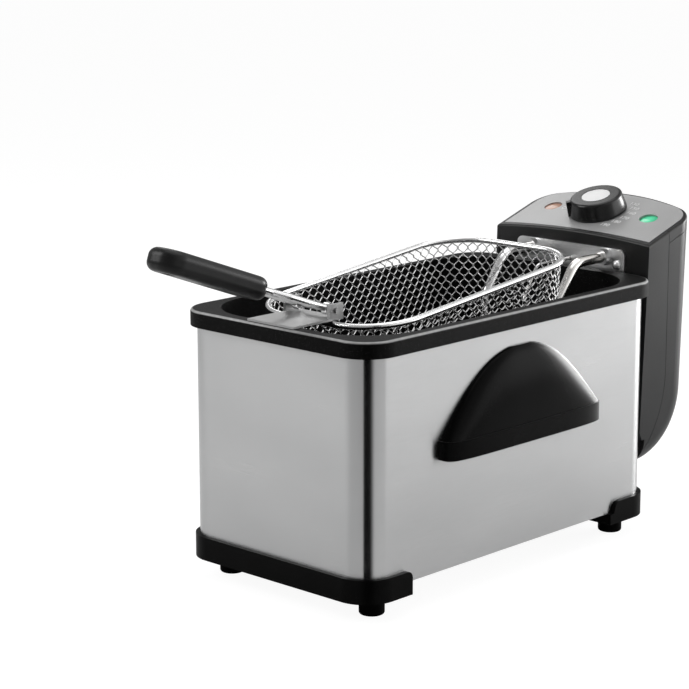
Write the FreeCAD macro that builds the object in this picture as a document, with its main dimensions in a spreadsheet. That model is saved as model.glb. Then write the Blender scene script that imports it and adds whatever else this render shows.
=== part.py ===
"""Countertop deep fryer with a lift-out oil pot, a hang-on control head and a frying basket.

Millimetres, Z up.  The short front side faces -Y, the control head hangs on the rear wall at +Y and
the feet stand on z = 0.
"""
import FreeCAD, Part
import math
import os
import re

import Sketcher

SIZES = {
    # Brushed steel housing, an open tube of sheet
    "body_width": 176.0,
    "body_length": 315.0,
    "body_corner": 21.0,
    "body_sheet": 0.8,
    "body_bottom": 22.9,
    "frame_shift": 12.47,
    "seat_gap": 0.3,
    "slide_gap": 0.4,
    # Enamelled oil pot with a turned-down rim
    "rim_top": 195.7,
    "rim_overhang": 4.8,
    "rim_drop": 11.7,
    "rim_round": 2.2,
    "enamel_sheet": 1.2,
    "mouth_side_inset": 4.0,
    "mouth_width": "body_width - 2 * mouth_side_inset",
    "mouth_end_inset": 5.5,
    "mouth_length": "body_length - 2 * mouth_end_inset",
    "mouth_corner": 46.0,
    "pot_floor": 58.0,
    "pot_draft": 5.0,
    "pot_floor_round": 14.0,
    # Base ends, bottom plate and feet
    "base_proud": 3.3,
    "base_bottom": 14.5,
    "base_top": 31.5,
    "base_shelf": 22.6,
    "base_skin": 2.4,
    "base_end_round": 5.0,
    "front_ear_run": 42.1,
    "front_ear_end": "body_length / 2 - front_ear_run",
    "rear_ear_run": 50.5,
    "rear_ear_end": "body_length / 2 - rear_ear_run",
    "ear_cut": 4.2,
    "ear_slant": 3.2,
    "foot_radius": 9.0,
    "foot_round": 2.0,
    "foot_inset": 19.3,
    "foot_x": "body_width / 2 - foot_inset",
    "front_foot_inset": 25.2,
    "front_foot_y": "body_length / 2 - front_foot_inset",
    "rear_foot_inset": 21.2,
    "rear_foot_y": "body_length / 2 - rear_foot_inset",
    "bottom_sheet": 1.0,
    "vent_length": 52.0,
    "vent_width": 5.0,
    "vent_pitch": 18.0,
    # Cup handles on the long sides
    "pull_half": 85.0,
    "pull_reach": 13.0,
    "pull_bottom": 102.5,
    "pull_lip_top": 116.0,
    "pull_top": 171.5,
    "pull_wall": 2.4,
    "pull_step": 0.8,
    # Guide rails on the rear wall and the tongues of the head
    "rail_inset": 38.0,
    "rail_x": "body_width / 2 - rail_inset",
    "rail_width": 22.0,
    "rail_bottom": 70.0,
    "rail_drop": 19.7,
    "rail_top": "rim_top - rail_drop",
    "rail_floor": 3.0,
    "rail_clear": 0.6,
    "tongue_width": 14.0,
    "tongue_neck": 8.0,
    "tongue_gap": 5.7,
    "tongue_y": "body_length / 2 + tongue_gap",
    "tongue_sheet": 2.4,
    "peg_radius": 2.5,
    "peg_z": 130.0,
    "switch_width": 18.0,
    "switch_height": 24.0,
    "switch_depth": 3.0,
    # Control head
    "head_standoff": 12.5,
    "head_front": "body_length / 2 + head_standoff",
    "head_inset": 13.3,
    "head_half": "body_width / 2 - head_inset",
    "shell_depth": 25.2,
    "head_seam": "head_front + shell_depth",
    "head_depth": 69.5,
    "head_rear": "head_front + head_depth",
    "head_rear_arc": 255.0,
    "head_corner": 21.0,
    "head_rise": 25.4,
    "head_top": "rim_top + head_rise",
    "heel_level": 102.2,
    "crown_rise": 35.3,
    "head_crown": "head_top + crown_rise",
    "head_taper": 5.4,
    "head_wall": 2.5,
    "head_edge": 2.0,
    "flange_lean": 6.4,
    "flange_low": 66.0,
    "flange_drop": 8.0,
    "seam_arc": 81.0,
    "seam_bend": 117.0,
    "seam_gap": 0.4,
    "panel_tilt": 17.5,
    "panel_crown": 3.6,
    "panel_bow": "(head_half ^ 2 + panel_crown ^ 2) / (2 * panel_crown)",
    "cap_depth": 12.0,
    "panel_border": 3.2,
    "panel_gap": 0.7,
    "panel_sheet": 1.6,
    "panel_ledge": 5.0,
    "panel_frame": 4.0,
    # Heating element with its plate
    "plate_inset": 22.2,
    "plate_half": "head_half - plate_inset",
    "plate_rise": 15.6,
    "plate_top": "rim_top + plate_rise",
    "plate_drop": 17.7,
    "plate_bottom": "rim_top - plate_drop",
    "plate_sheet": 1.5,
    "plate_corner": 5.0,
    "tube_radius": 4.0,
    "leg_inset": 18.0,
    "leg_x": "plate_half - leg_inset",
    "leg_rise": 8.8,
    "leg_z": "rim_top + leg_rise",
    "leg_run": 13.0,
    "leg_tail": "head_front + leg_run",
    "leg_bend_inset": 26.5,
    "leg_bend_y": "body_length / 2 - leg_bend_inset",
    "riser_inset": 49.0,
    "riser_y": "body_length / 2 - riser_inset",
    "knee_drop": 21.7,
    "riser_knee_z": "rim_top - knee_drop",
    "riser_slope": 55.0,
    "loop_rise": 9.0,
    "loop_z": "pot_floor + loop_rise",
    "loop_side_gap": 27.0,
    "loop_outer_x": "mouth_width / 2 - loop_side_gap",
    "loop_pitch": 35.0,
    "loop_inner_x": "loop_outer_x - loop_pitch",
    "loop_front_gap": 45.5,
    "loop_front_y": "body_length / 2 - loop_front_gap",
    "loop_rear_y": 20.0,
    "tube_bend": 15.0,
    "ferrule_radius": 6.5,
    "ferrule_length": 7.0,
    "nut_inset": 7.0,
    "nut_x": "plate_half - nut_inset",
    "nut_rise": 3.3,
    "nut_z": "rim_top + nut_rise",
    "nut_radius": 3.6,
    "nut_height": 3.0,
    "clip_y": 40.0,
    "clip_width": 9.0,
    "clip_sheet": 1.5,
    "bulb_x": 0.0,
    "bulb_radius": 2.6,
    "bulb_length": 70.0,
    "capillary_radius": 1.3,
    "capillary_rise": 3.3,
    "capillary_z": "rim_top + capillary_rise",
    # Knob, lamps and the parts under the panel
    "dial_s": 35.9,
    "lamp_s": 37.6,
    "lamp_inset": 27.9,
    "lamp_x": "head_half - lamp_inset",
    "lamp_fall": "panel_bow - sqrt(panel_bow ^ 2 - lamp_x ^ 2)",
    "lens_radius": 7.0,
    "lens_sink": 0.5,
    "lens_dome": 0.7,
    "lens_flange": 8.4,
    "lens_slack": 0.7,
    "lens_stem": 5.0,
    "lens_stem_length": 10.0,
    "knob_radius": 22.6,
    "knob_top_radius": 20.7,
    "knob_skirt": 1.2,
    "pointer_turn": 220.0,
    "pointer_width": 4.0,
    "pointer_proud": 1.3,
    "knob_height": 14.0,
    "knob_lift": 0.6,
    "knob_round": 2.4,
    "knob_cap_radius": 11.2,
    "knob_cap_sheet": 1.6,
    "shaft_radius": 3.0,
    "shaft_tail": 14.0,
    "shaft_head": 9.0,
    "thermostat_width": 38.0,
    "thermostat_length": 34.0,
    "thermostat_depth": 24.0,
    "thermostat_drop": 0.4,
    # Rear of the head
    "inlet_width": 44.0,
    "inlet_height": 26.0,
    "inlet_z": 114.0,
    "inlet_setback": 5.4,
    "inlet_rear": "head_rear - inlet_setback",
    "inlet_depth": 24.0,
    "inlet_wall": 4.0,
    "inlet_recess": 14.0,
    "pin_radius": 2.2,
    "pin_pitch": 16.0,
    "pin_length": 9.0,
    "button_x": 42.0,
    "button_z": 114.0,
    "button_radius": 4.0,
    "button_run": 20.5,
    "button_tail": "head_rear - button_run",
    "button_setback": 8.5,
    "button_rear": "head_rear - button_setback",
    "button_travel": 2.0,
    "cutout_width": 18.0,
    "cutout_depth": 14.0,
    "cutout_lap": 9.6,
    "terminal_width": 46.0,
    "terminal_height": 16.0,
    "terminal_depth": 13.0,
    "terminal_z": 150.0,
    "screw_radius": 3.6,
    "screw_head": 1.8,
    "screw_x": 26.0,
    "screw_z": 84.0,
    # Basket, tipped so that its rear stands higher
    "basket_side_gap": 23.4,
    "basket_half": "body_width / 2 - basket_side_gap",
    "basket_end_gap": 91.0,
    "basket_length": "body_length - basket_end_gap",
    "basket_corner": 39.7,
    "basket_depth": 90.0,
    "basket_taper": 8.0,
    "basket_lean": 24.5,
    "basket_tip": "asin(basket_lean / basket_length) / 1 deg",
    "basket_rear_gap": 55.7,
    "basket_rear_y": "body_length / 2 - basket_rear_gap",
    "basket_rise": 22.3,
    "basket_rear_z": "rim_top + basket_rise",
    "rim_wire": 2.2,
    "ring_wire": 1.5,
    "net_sheet": 1.2,
    "net_pitch": 13.5,
    "net_gap": 12.0,
    # Folding basket handle
    "bracket_half": 22.0,
    "bracket_sheet": 1.5,
    "bracket_hook": 2.5,
    "bracket_front": "body_length / 2 + bracket_hook",
    "bracket_run": 46.5,
    "bracket_rear": "body_length / 2 - bracket_run",
    "ear_sheet": 2.0,
    "ear_height": 11.5,
    "ear_length": 14.0,
    "pivot_inset": 39.5,
    "pivot_y": "body_length / 2 - pivot_inset",
    "pivot_rise": 7.3,
    "pivot_z": "rim_top + pivot_rise",
    "pivot_radius": 2.0,
    "pivot_gap": 0.3,
    "eye_radius": 4.3,
    "eye_width": 5.0,
    "eye_x": 14.0,
    "handle_wire": 2.5,
    "handle_neck": 38.0,
    "handle_waist": 8.0,
    "handle_insert": 40.0,
    "handle_rise": 20.0,
    "grip_start": 56.0,
    "grip_length": 98.12,
    "grip_width": 31.0,
    "grip_thick": 16.0,
    "grip_round": 6.0,
}

doc = FreeCAD.newDocument("deep_fryer")
dims = doc.addObject("Spreadsheet::Sheet", "dims")
for row, (size_name, size_value) in enumerate(SIZES.items(), 1):
    dims.set(f"A{row}", size_name)
    dims.set(f"B{row}", f"={size_value}")
    dims.setAlias(f"B{row}", size_name)
doc.recompute()

WORD = re.compile(r"[a-z][a-z_0-9]*")
PARTS = []


def bound(formula):
    """A formula in size names, written as an expression on the sheet."""
    def cell(match):
        word = match.group()
        return "dims." + word if word in SIZES else word
    return WORD.sub(cell, formula)


def num(formula):
    """The present value of a formula in size names."""
    return float(dims.evalExpression(bound(formula)))


def vec(x, y, z):
    return FreeCAD.Vector(x, y, z)


def bind(thing, **formulas):
    """Ties properties to the sheet; a double underscore stands for a dot in the property path."""
    for key, formula in formulas.items():
        thing.setExpression(key.replace("__", "."), bound(formula))


def place(thing, x="0", y="0", z="0", axis=(1, 0, 0), turn="0"):
    """Sets a piece at a point of the fryer, after a turn about an axis through that point."""
    thing.Placement = FreeCAD.Placement(vec(0, 0, 0), FreeCAD.Rotation(vec(*axis), num(turn)))
    if turn != "0":
        thing.setExpression("Placement.Rotation.Angle", bound(turn))
    bind(thing, Placement__Base__x=x, Placement__Base__y=f"{y} + frame_shift", Placement__Base__z=z)
    return thing


def keep(thing, label):
    """Marks a finished piece, which goes out as one named part."""
    thing.Label = label
    PARTS.append(thing)
    return thing


def new_body(name):
    return doc.addObject("PartDesign::Body", name)


def new_sketch(body, plane="XY_Plane", level="0"):
    """An empty sketch on one of the body's own planes, raised along the plane's normal."""
    sketch = body.newObject("Sketcher::SketchObject", body.Name + "_sketch")
    base = [item for item in body.Origin.OriginFeatures if item.Role == plane][0]
    sketch.AttachmentSupport = [(base, "")]
    sketch.MapMode = "FlatFace"
    bind(sketch, AttachmentOffset__Base__z=level)
    return sketch


def fix_point(sketch, geometry, end, x, y):
    """Ties one end point of a line or arc to two formulas."""
    for kind, formula in (("DistanceX", x), ("DistanceY", y)):
        index = sketch.addConstraint(Sketcher.Constraint(kind, geometry, end, num(formula)))
        sketch.setExpression(f"Constraints[{index}]", bound(formula))


def outline(sketch, path, closed=True):
    """Draws (x, y, radius) corners in turn; a radius bows the stretch that leaves its corner.

    A leading minus on the radius bows the stretch to the other side.
    """
    count = len(path) if closed else len(path) - 1
    ends = []
    for index in range(count):
        x, y, radius = path[index]
        next_x, next_y, _ = path[(index + 1) % len(path)]
        start = vec(num(x), num(y), 0)
        stop = vec(num(next_x), num(next_y), 0)
        if radius is None:
            geometry = sketch.addGeometry(Part.LineSegment(start, stop))
            ends.append((geometry, 1, 2))
            continue
        flipped = radius.startswith("-")
        formula = radius.lstrip("-")
        first, last = (stop, start) if flipped else (start, stop)
        chord = last - first
        rise = math.sqrt(max(num(formula) ** 2 - (chord.Length / 2) ** 2, 0))
        across = vec(-chord.y, chord.x, 0).normalize()
        centre = (first + last) * 0.5 + across * rise
        circle = Part.Circle(centre, vec(0, 0, 1), num(formula))
        begin = math.atan2(first.y - centre.y, first.x - centre.x)
        finish = math.atan2(last.y - centre.y, last.x - centre.x)
        geometry = sketch.addGeometry(Part.ArcOfCircle(circle, begin, finish))
        index_radius = sketch.addConstraint(Sketcher.Constraint("Radius", geometry, num(formula)))
        sketch.setExpression(f"Constraints[{index_radius}]", bound(formula))
        ends.append((geometry, 2, 1) if flipped else (geometry, 1, 2))
    for index in range(count):
        geometry, begin, _ = ends[index]
        fix_point(sketch, geometry, begin, path[index][0], path[index][1])
        if index or closed:
            before, _, finish = ends[index - 1]
            sketch.addConstraint(Sketcher.Constraint("Coincident", before, finish, geometry, begin))
    if not closed:
        geometry, _, finish = ends[-1]
        fix_point(sketch, geometry, finish, path[-1][0], path[-1][1])
    return sketch


def circle_at(sketch, x, y, radius):
    geometry = sketch.addGeometry(Part.Circle(vec(num(x), num(y), 0), vec(0, 0, 1), num(radius)))
    index = sketch.addConstraint(Sketcher.Constraint("Radius", geometry, num(radius)))
    sketch.setExpression(f"Constraints[{index}]", bound(radius))
    fix_point(sketch, geometry, 3, x, y)


def box_path(left, right, low, high):
    return [(right, low, None), (right, high, None), (left, high, None), (left, low, None)]


def round_box(half_x, half_y, corner, mid_y="0"):
    """A rectangle with four equal round corners, counter-clockwise."""
    in_x = f"({half_x} - ({corner}))"
    in_y = f"({half_y} - ({corner}))"
    return [
        (half_x, f"{mid_y} - {in_y}", None),
        (half_x, f"{mid_y} + {in_y}", corner),
        (in_x, f"{mid_y} + {half_y}", None),
        (f"-{in_x}", f"{mid_y} + {half_y}", corner),
        (f"-{half_x}", f"{mid_y} + {in_y}", None),
        (f"-{half_x}", f"{mid_y} - {in_y}", corner),
        (f"-{in_x}", f"{mid_y} - {half_y}", None),
        (in_x, f"{mid_y} - {half_y}", corner),
    ]


def feature(body, kind, profile, length=None, sides="One side", flipped=False):
    """A pad or pocket of a sketch."""
    made = body.newObject("PartDesign::" + kind, body.Name + "_" + kind.lower())
    made.Profile = profile
    made.SideType = sides
    made.Reversed = flipped
    if length is None:
        made.Type = "ThroughAll"
    else:
        bind(made, Length=length)
    return made


def loft(body, kind, first, second):
    made = body.newObject("PartDesign::" + kind, body.Name + "_loft")
    made.Profile = first
    made.Sections = [second]
    made.Ruled = True
    return made


def dress(body, kind, chosen, size):
    """Rounds or bevels the edges of the body's last shape that a test chooses."""
    doc.recompute()
    tip = body.Tip
    names = []
    for index, edge in enumerate(tip.Shape.Edges, 1):
        if chosen(edge):
            names.append(f"Edge{index}")
    made = body.newObject("PartDesign::" + kind, body.Name + "_" + kind.lower())
    made.Base = (tip, names)
    if kind == "Fillet":
        bind(made, Radius=size)
    else:
        bind(made, Size=size)
    return made


def level_edge(height):
    """A test for edges that lie wholly at one height."""
    def test(edge):
        box = edge.BoundBox
        return abs(box.ZMin - height) < 1e-3 and abs(box.ZMax - height) < 1e-3
    return test


def simple(kind, name, **sizes):
    """A bare solid whose sizes are tied to the sheet."""
    made = doc.addObject("Part::" + kind, name)
    bind(made, **sizes)
    return made


def combine(kind, name, base, tool):
    made = doc.addObject("Part::" + kind, name)
    made.Base = base
    made.Tool = tool
    return made


def coded(name, shape):
    made = doc.addObject("Part::Feature", name)
    made.Shape = shape
    return made


def bent_wire(points, bend, radius):
    """A round wire along straight stretches joined by bends of one radius."""
    edges = []
    last = points[0]
    for before, corner, after in zip(points, points[1:], points[2:]):
        into = (corner - before).normalize()
        out = (after - corner).normalize()
        turn = into.getAngle(out)
        back = bend * math.tan(turn / 2)
        start = corner - into * back
        stop = corner + out * back
        inward = (out - into).normalize()
        middle = corner + inward * (bend / math.cos(turn / 2) - bend)
        edges.append(Part.makeLine(last, start))
        edges.append(Part.Arc(start, middle, stop).toShape())
        last = stop
    edges.append(Part.makeLine(last, points[-1]))
    spine = Part.Wire(edges)
    heading = (points[1] - points[0]).normalize()
    section = Part.Wire([Part.makeCircle(radius, points[0], heading)])
    return spine.makePipeShell([section], True, True)


# Stainless housing: an open rounded tube of sheet steel that the pot hangs in.
body_top = "(rim_top - enamel_sheet - seat_gap)"
housing = new_body("housing_tube")
ring = new_sketch(housing, level="body_bottom")
outline(ring, round_box("body_width / 2", "body_length / 2", "body_corner"))
outline(ring, round_box("(body_width / 2 - body_sheet)", "(body_length / 2 - body_sheet)",
                        "(body_corner - body_sheet)"))
feature(housing, "Pad", ring, f"{body_top} - body_bottom")
keep(place(housing), "outer_housing")

# Bottom plate: a slotted sheet that closes the tube just above the base ends.
bottom = new_body("bottom_sheet_body")
sheet = new_sketch(bottom, level="base_shelf + seat_gap")
outline(sheet, round_box("(body_width / 2 - body_sheet - seat_gap)",
                         "(body_length / 2 - body_sheet - seat_gap)",
                         "(body_corner - body_sheet - seat_gap)"))
for slot in range(-3, 4):
    mid = f"{slot} * vent_pitch"
    outline(sheet, box_path("-vent_length / 2", "vent_length / 2",
                            f"{mid} - vent_width / 2", f"{mid} + vent_width / 2"))
feature(bottom, "Pad", sheet, "bottom_sheet")
keep(place(bottom), "bottom_plate")


# Base ends: black moulded trays that wrap the corners of the housing and carry the feet.
def end_path(sign, half_x, half_y, corner, stop):
    """The plan of one end: a straight cut across, and two round corners away from the middle."""
    corners = [
        (half_x, f"-({stop})", None),
        (f"-{half_x}", f"-({stop})", None),
        (f"-{half_x}", f"-({half_y} - {corner})", corner),
        (f"-({half_x} - {corner})", f"-{half_y}", None),
        (f"({half_x} - {corner})", f"-{half_y}", corner),
        (half_x, f"-({half_y} - {corner})", None),
    ]
    return [(f"{sign} * ({x})", f"{sign} * ({y})", radius) for x, y, radius in corners]


def base_end(name, sign, stop, slanted):
    tray = new_body(name + "_tray")
    solid = new_sketch(tray, level="base_bottom")
    outline(solid, end_path(sign, "(body_width / 2 + base_proud)", "(body_length / 2 + base_proud)",
                            "(body_corner + base_proud)", stop))
    feature(tray, "Pad", solid, "base_top - base_bottom")
    seat = new_sketch(tray, level="base_top")
    outline(seat, end_path(sign, "(body_width / 2 + seat_gap)", "(body_length / 2 + seat_gap)",
                           "(body_corner + seat_gap)", f"{stop} - base_proud"))
    feature(tray, "Pocket", seat, "base_top - base_shelf")
    under = new_sketch(tray, level="base_bottom")
    near = f"{sign} * (-({stop}) - base_proud)"
    far = f"{sign} * (base_proud - body_length / 2)"
    side = "(foot_x - foot_radius - base_proud)"
    outline(under, [(f"{sign} * {side}", far, None), (f"{sign} * {side}", near, None),
                    (f"-{sign} * {side}", near, None), (f"-{sign} * {side}", far, None)])
    feature(tray, "Pocket", under, "base_shelf - base_skin - base_bottom", flipped=True)
    cut_y = -sign * num(stop)
    if slanted:
        slant = new_sketch(tray, plane="YZ_Plane")
        start = f"{sign} * (3 - {stop})"
        foot = f"{sign} * (-({stop}) - ear_cut)"
        tip_y = f"-({stop}) - ear_cut - ear_slant"
        outline(slant, [(start, "base_shelf", None), (foot, "base_shelf", None),
                        (f"{sign} * ({tip_y})", "base_top", None), (f"{sign} * ({tip_y})", "base_top + 3", None),
                        (start, "base_top + 3", None)])
        feature(tray, "Pocket", slant, "2 * body_width", sides="Symmetric")
        cut_y = sign * num(tip_y)

    def ear_corner(edge):
        box = edge.BoundBox
        level = abs(box.ZMin - num("base_top")) < 1e-3 and abs(box.ZMax - num("base_top")) < 1e-3
        return level and abs(box.YMin - cut_y) < 1e-3 and abs(box.YMax - cut_y) < 1e-3

    dress(tray, "Fillet", ear_corner, "base_end_round")
    keep(place(tray), name)


base_end("front_base", 1, "front_ear_end", False)
base_end("rear_base", -1, "rear_ear_end", True)


# Feet: four short rubber studs under the corners of the base ends.
def stud(name, x, y):
    foot = new_body(name + "_stud")
    disc = new_sketch(foot)
    circle_at(disc, "0", "0", "foot_radius")
    feature(foot, "Pad", disc, "base_bottom")
    dress(foot, "Fillet", level_edge(0), "foot_round")
    keep(place(foot, x, y), name)


stud("foot_front_left", "-foot_x", "-front_foot_y")
stud("foot_front_right", "foot_x", "-front_foot_y")
stud("foot_rear_left", "-foot_x", "rear_foot_y")
stud("foot_rear_right", "foot_x", "rear_foot_y")


# Cup handles: hollow shells with a straight lip, open below and at the back against the steel.
def cup_section(half, reach, fullness, height):
    """A closed level wire: a straight back on x = 0 and a bow out to the reach.

    A fullness of 1 bows like a rounded bar, and a fullness of 0 like a lens that thins to the wall.
    """
    power = 2 + 3 * fullness
    edge = 1 - 0.8 * fullness
    points = []
    for step in range(25):
        angle = math.pi * step / 24
        across = math.cos(angle)
        out = max(math.sin(angle), 0)
        y = half * math.copysign(abs(across) ** (2 / power), across)
        points.append(vec(reach * out ** (2 * edge), y, height))
    points[0].x = 0
    points[-1].x = 0
    bow = Part.BSplineCurve()
    bow.interpolate(points)
    back = Part.makeLine(points[-1], points[0])
    return Part.Wire([bow.toShape(), back])


def cup_dome(inset, low):
    """The lip as a straight prism below and the arched shell above it, set in by one thickness."""
    half = num("pull_half") - inset
    reach = num("pull_reach") - inset
    lip_top = num("pull_lip_top") - inset
    rise = num("pull_top - pull_lip_top")
    lip = Part.Face(cup_section(half, reach, 1.0, low)).extrude(vec(0, 0, lip_top - low))
    step = num("pull_step")
    wires = []
    for share in (0.0, 0.15, 0.3, 0.45, 0.6, 0.75, 0.88, 0.96, 0.985):
        narrow = (1 - share) ** (1 / 2.15)
        flat = (1 - share ** 1.8) ** (1 / 1.8)
        wires.append(cup_section((half - step) * narrow, (reach - step) * flat, 0.6 + 0.4 * (1 - share) ** 2,
                                 lip_top + rise * share))
    return lip.fuse(Part.makeLoft(wires, True, False))


def cup_handle(name, turn, x):
    outer = cup_dome(0.0, num("pull_bottom"))
    inner = cup_dome(num("pull_wall"), num("pull_bottom") - 1.0)
    cup = coded(name + "_cup", outer.cut(inner).removeSplitter())
    keep(place(cup, x, axis=(0, 0, 1), turn=turn), name)


cup_handle("side_handle_right", "0", "body_width / 2")
cup_handle("side_handle_left", "180", "-body_width / 2")


# Guide rails: two upright channels on the rear wall that the tongues of the head drop into.
def rail(name, x):
    channel = new_body(name + "_channel")
    block = new_sketch(channel, level="rail_bottom")
    outline(block, box_path("-rail_width / 2", "rail_width / 2",
                            "body_length / 2", "head_front - rail_clear"))
    feature(channel, "Pad", block, "rail_top - rail_bottom")
    slot = new_sketch(channel, level="rail_top")
    mouth = "(tongue_neck / 2 + slide_gap)"
    room = "(tongue_width / 2 + slide_gap)"
    step = "tongue_y + tongue_sheet + slide_gap"
    outline(slot, [
        (room, "tongue_y - slide_gap", None), (room, step, None),
        (mouth, step, None), (mouth, "head_front + rail_clear", None),
        (f"-{mouth}", "head_front + rail_clear", None), (f"-{mouth}", step, None),
        (f"-{room}", step, None), (f"-{room}", "tongue_y - slide_gap", None)])
    feature(channel, "Pocket", slot, "rail_top - rail_bottom - rail_floor")
    keep(place(channel, x), name)


rail("guide_rail_left", "-rail_x")
rail("guide_rail_right", "rail_x")

# Interlock peg: a short stud on the rear wall that works the switch in the head.
peg = simple("Cylinder", "peg_stud", Radius="peg_radius",
             Height="head_front - switch_depth - seat_gap - body_length / 2")
keep(place(peg, "0", "body_length / 2", "peg_z", axis=(1, 0, 0), turn="-90"), "interlock_peg")

# Oil pot: one drawn and enamelled pan; drafted walls, a flat flange and a turned-down rim.
pot = new_body("pot_pan")
shell = "enamel_sheet"
pan_top = new_sketch(pot, level="rim_top")
outline(pan_top, round_box(f"(mouth_width / 2 + {shell})", f"(mouth_length / 2 + {shell})",
                           f"(mouth_corner + {shell})"))
pan_floor = new_sketch(pot, level=f"pot_floor - {shell}")
outline(pan_floor, round_box(f"(mouth_width / 2 - pot_draft + {shell})",
                             f"(mouth_length / 2 - pot_draft + {shell})",
                             f"(mouth_corner - pot_draft + {shell})"))
loft(pot, "AdditiveLoft", pan_top, pan_floor)
dress(pot, "Fillet", level_edge(num("pot_floor - enamel_sheet")), "pot_floor_round + enamel_sheet")
flange = new_sketch(pot, level=f"rim_top - {shell}")
rim_x = "(body_width / 2 + rim_overhang)"
rim_y = "(body_length / 2 + rim_overhang)"
rim_r = "(body_corner + rim_overhang)"
outline(flange, round_box(rim_x, rim_y, rim_r))
feature(pot, "Pad", flange, shell)
skirt = new_sketch(pot, level="rim_top - rim_drop")
outline(skirt, round_box(rim_x, rim_y, rim_r))
outline(skirt, round_box(f"({rim_x} - {shell})", f"({rim_y} - {shell})", f"({rim_r} - {shell})"))
feature(pot, "Pad", skirt, f"rim_drop - {shell} / 2")


def rim_corner(edge):
    box = edge.BoundBox
    reach = max(abs(box.XMin), abs(box.XMax))
    far = max(abs(box.YMin), abs(box.YMax))
    outer = reach > num(rim_x) - 1e-3 or far > num(rim_y) - 1e-3
    return level_edge(num("rim_top"))(edge) and outer


dress(pot, "Fillet", rim_corner, "rim_round")
well = new_body("pot_well")
well_top = new_sketch(well, level="rim_top")
outline(well_top, round_box("mouth_width / 2", "mouth_length / 2", "mouth_corner"))
well_floor = new_sketch(well, level="pot_floor")
outline(well_floor, round_box("(mouth_width / 2 - pot_draft)", "(mouth_length / 2 - pot_draft)",
                              "(mouth_corner - pot_draft)"))
loft(well, "AdditiveLoft", well_top, well_floor)
dress(well, "Fillet", level_edge(num("pot_floor")), "pot_floor_round")
keep(combine("Cut", "pot_cut", place(pot), place(well)), "oil_pot")


# Control head: one drafted D-shaped block that turns forward below, with a crowned and sloping top.
def d_plan(half, front, rear, arc, corner):
    """A D in plan: straight front and sides, a bowed rear and two round rear corners."""
    drop = f"sqrt(({arc} - {corner}) ^ 2 - ({half} - {corner}) ^ 2)"
    shoulder = f"({rear} - {arc} + {drop})"
    bow_x = f"(({half} - {corner}) * {arc} / ({arc} - {corner}))"
    bow_y = f"({rear} - {arc} + {drop} * {arc} / ({arc} - {corner}))"
    return [
        (f"-{half}", front, None), (half, front, None), (half, shoulder, corner),
        (bow_x, bow_y, arc), (f"-{bow_x}", bow_y, corner), (f"-{half}", shoulder, None)]


def head_core(name, inset, drop):
    """The block set in by one thickness at its sides and rear, and its crown let down by a drop."""
    core = new_body(name)
    half = f"(head_half - {inset})"
    round_off = (f"(head_rear_arc - {inset})", f"(head_corner - {inset})")
    crown = new_sketch(core, level="head_crown")
    outline(crown, d_plan(half, "head_front", f"(head_rear - {inset})", *round_off))
    bend = new_sketch(core, level="heel_level")
    bind(bend, AttachmentOffset__Base__y="head_front")
    outline(bend, d_plan(half, "0", f"(head_rear - head_taper - head_front - {inset})", *round_off))
    loft(core, "AdditiveLoft", crown, bend)
    heel = core.newObject("PartDesign::Revolution", name + "_heel")
    heel.Profile = bend
    heel.ReferenceAxis = (bend, ["H_Axis"])
    heel.Angle = 90
    heel.Reversed = True
    sky = new_sketch(core, plane="XZ_Plane")
    sky.AttachmentOffset = FreeCAD.Placement(vec(0, 0, 0), FreeCAD.Rotation(vec(1, 0, 0), num("panel_tilt")))
    sky.setExpression("AttachmentOffset.Rotation.Angle", bound("panel_tilt"))
    bind(sky, AttachmentOffset__Base__y=f"head_top - {drop} * cos(panel_tilt)",
         AttachmentOffset__Base__z=f"-head_front - {drop} * sin(panel_tilt)")
    bow = f"(panel_bow - {drop})"
    wide = "(1.2 * head_half)"
    fall = f"({bow} - sqrt({bow} ^ 2 - {wide} ^ 2))"
    outline(sky, [(wide, f"-{fall}", bow), (f"-{wide}", f"-{fall}", None),
                  (f"-{wide}", "2 * head_half", None), (wide, "2 * head_half", None)])
    feature(core, "Pocket", sky, "8 * head_half", sides="Symmetric")
    return core


def on_crown(edge):
    """A test for edges that lie on the crowned top of the head."""
    tilt = math.radians(num("panel_tilt"))
    bow = num("panel_bow")
    along = vec(0, math.cos(tilt), math.sin(tilt))
    centre = vec(0, num("head_front") + bow * math.sin(tilt), num("head_top") - bow * math.cos(tilt))
    for share in (0.1, 0.5, 0.9):
        point = edge.valueAt(edge.FirstParameter + share * (edge.LastParameter - edge.FirstParameter))
        arm = point - centre
        if abs((arm - along * arm.dot(along)).Length - bow) > 1e-3:
            return False
    return True


def above_panel(name, offset):
    """A block whose underside lies flat across the crest of the panel, moved along its normal."""
    block = simple("Box", name, Length="4 * head_half", Width="4 * head_half", Height="2 * head_half")
    return place(block, "-2 * head_half",
                 f"head_front - 2 * head_half * cos(panel_tilt) - ({offset}) * sin(panel_tilt)",
                 f"head_top - 2 * head_half * sin(panel_tilt) + ({offset}) * cos(panel_tilt)",
                 turn="panel_tilt")


def panel_drum(name, drop):
    """A great cylinder along the slope, whose skin is the crowned top let down by a drop."""
    drum = simple("Cylinder", name, Radius=f"panel_bow - ({drop})", Height="8 * head_half")
    return place(drum, "0", "head_front - 4 * head_half * cos(panel_tilt) + panel_bow * sin(panel_tilt)",
                 "head_top - 4 * head_half * sin(panel_tilt) - panel_bow * cos(panel_tilt)",
                 turn="panel_tilt - 90")


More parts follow.
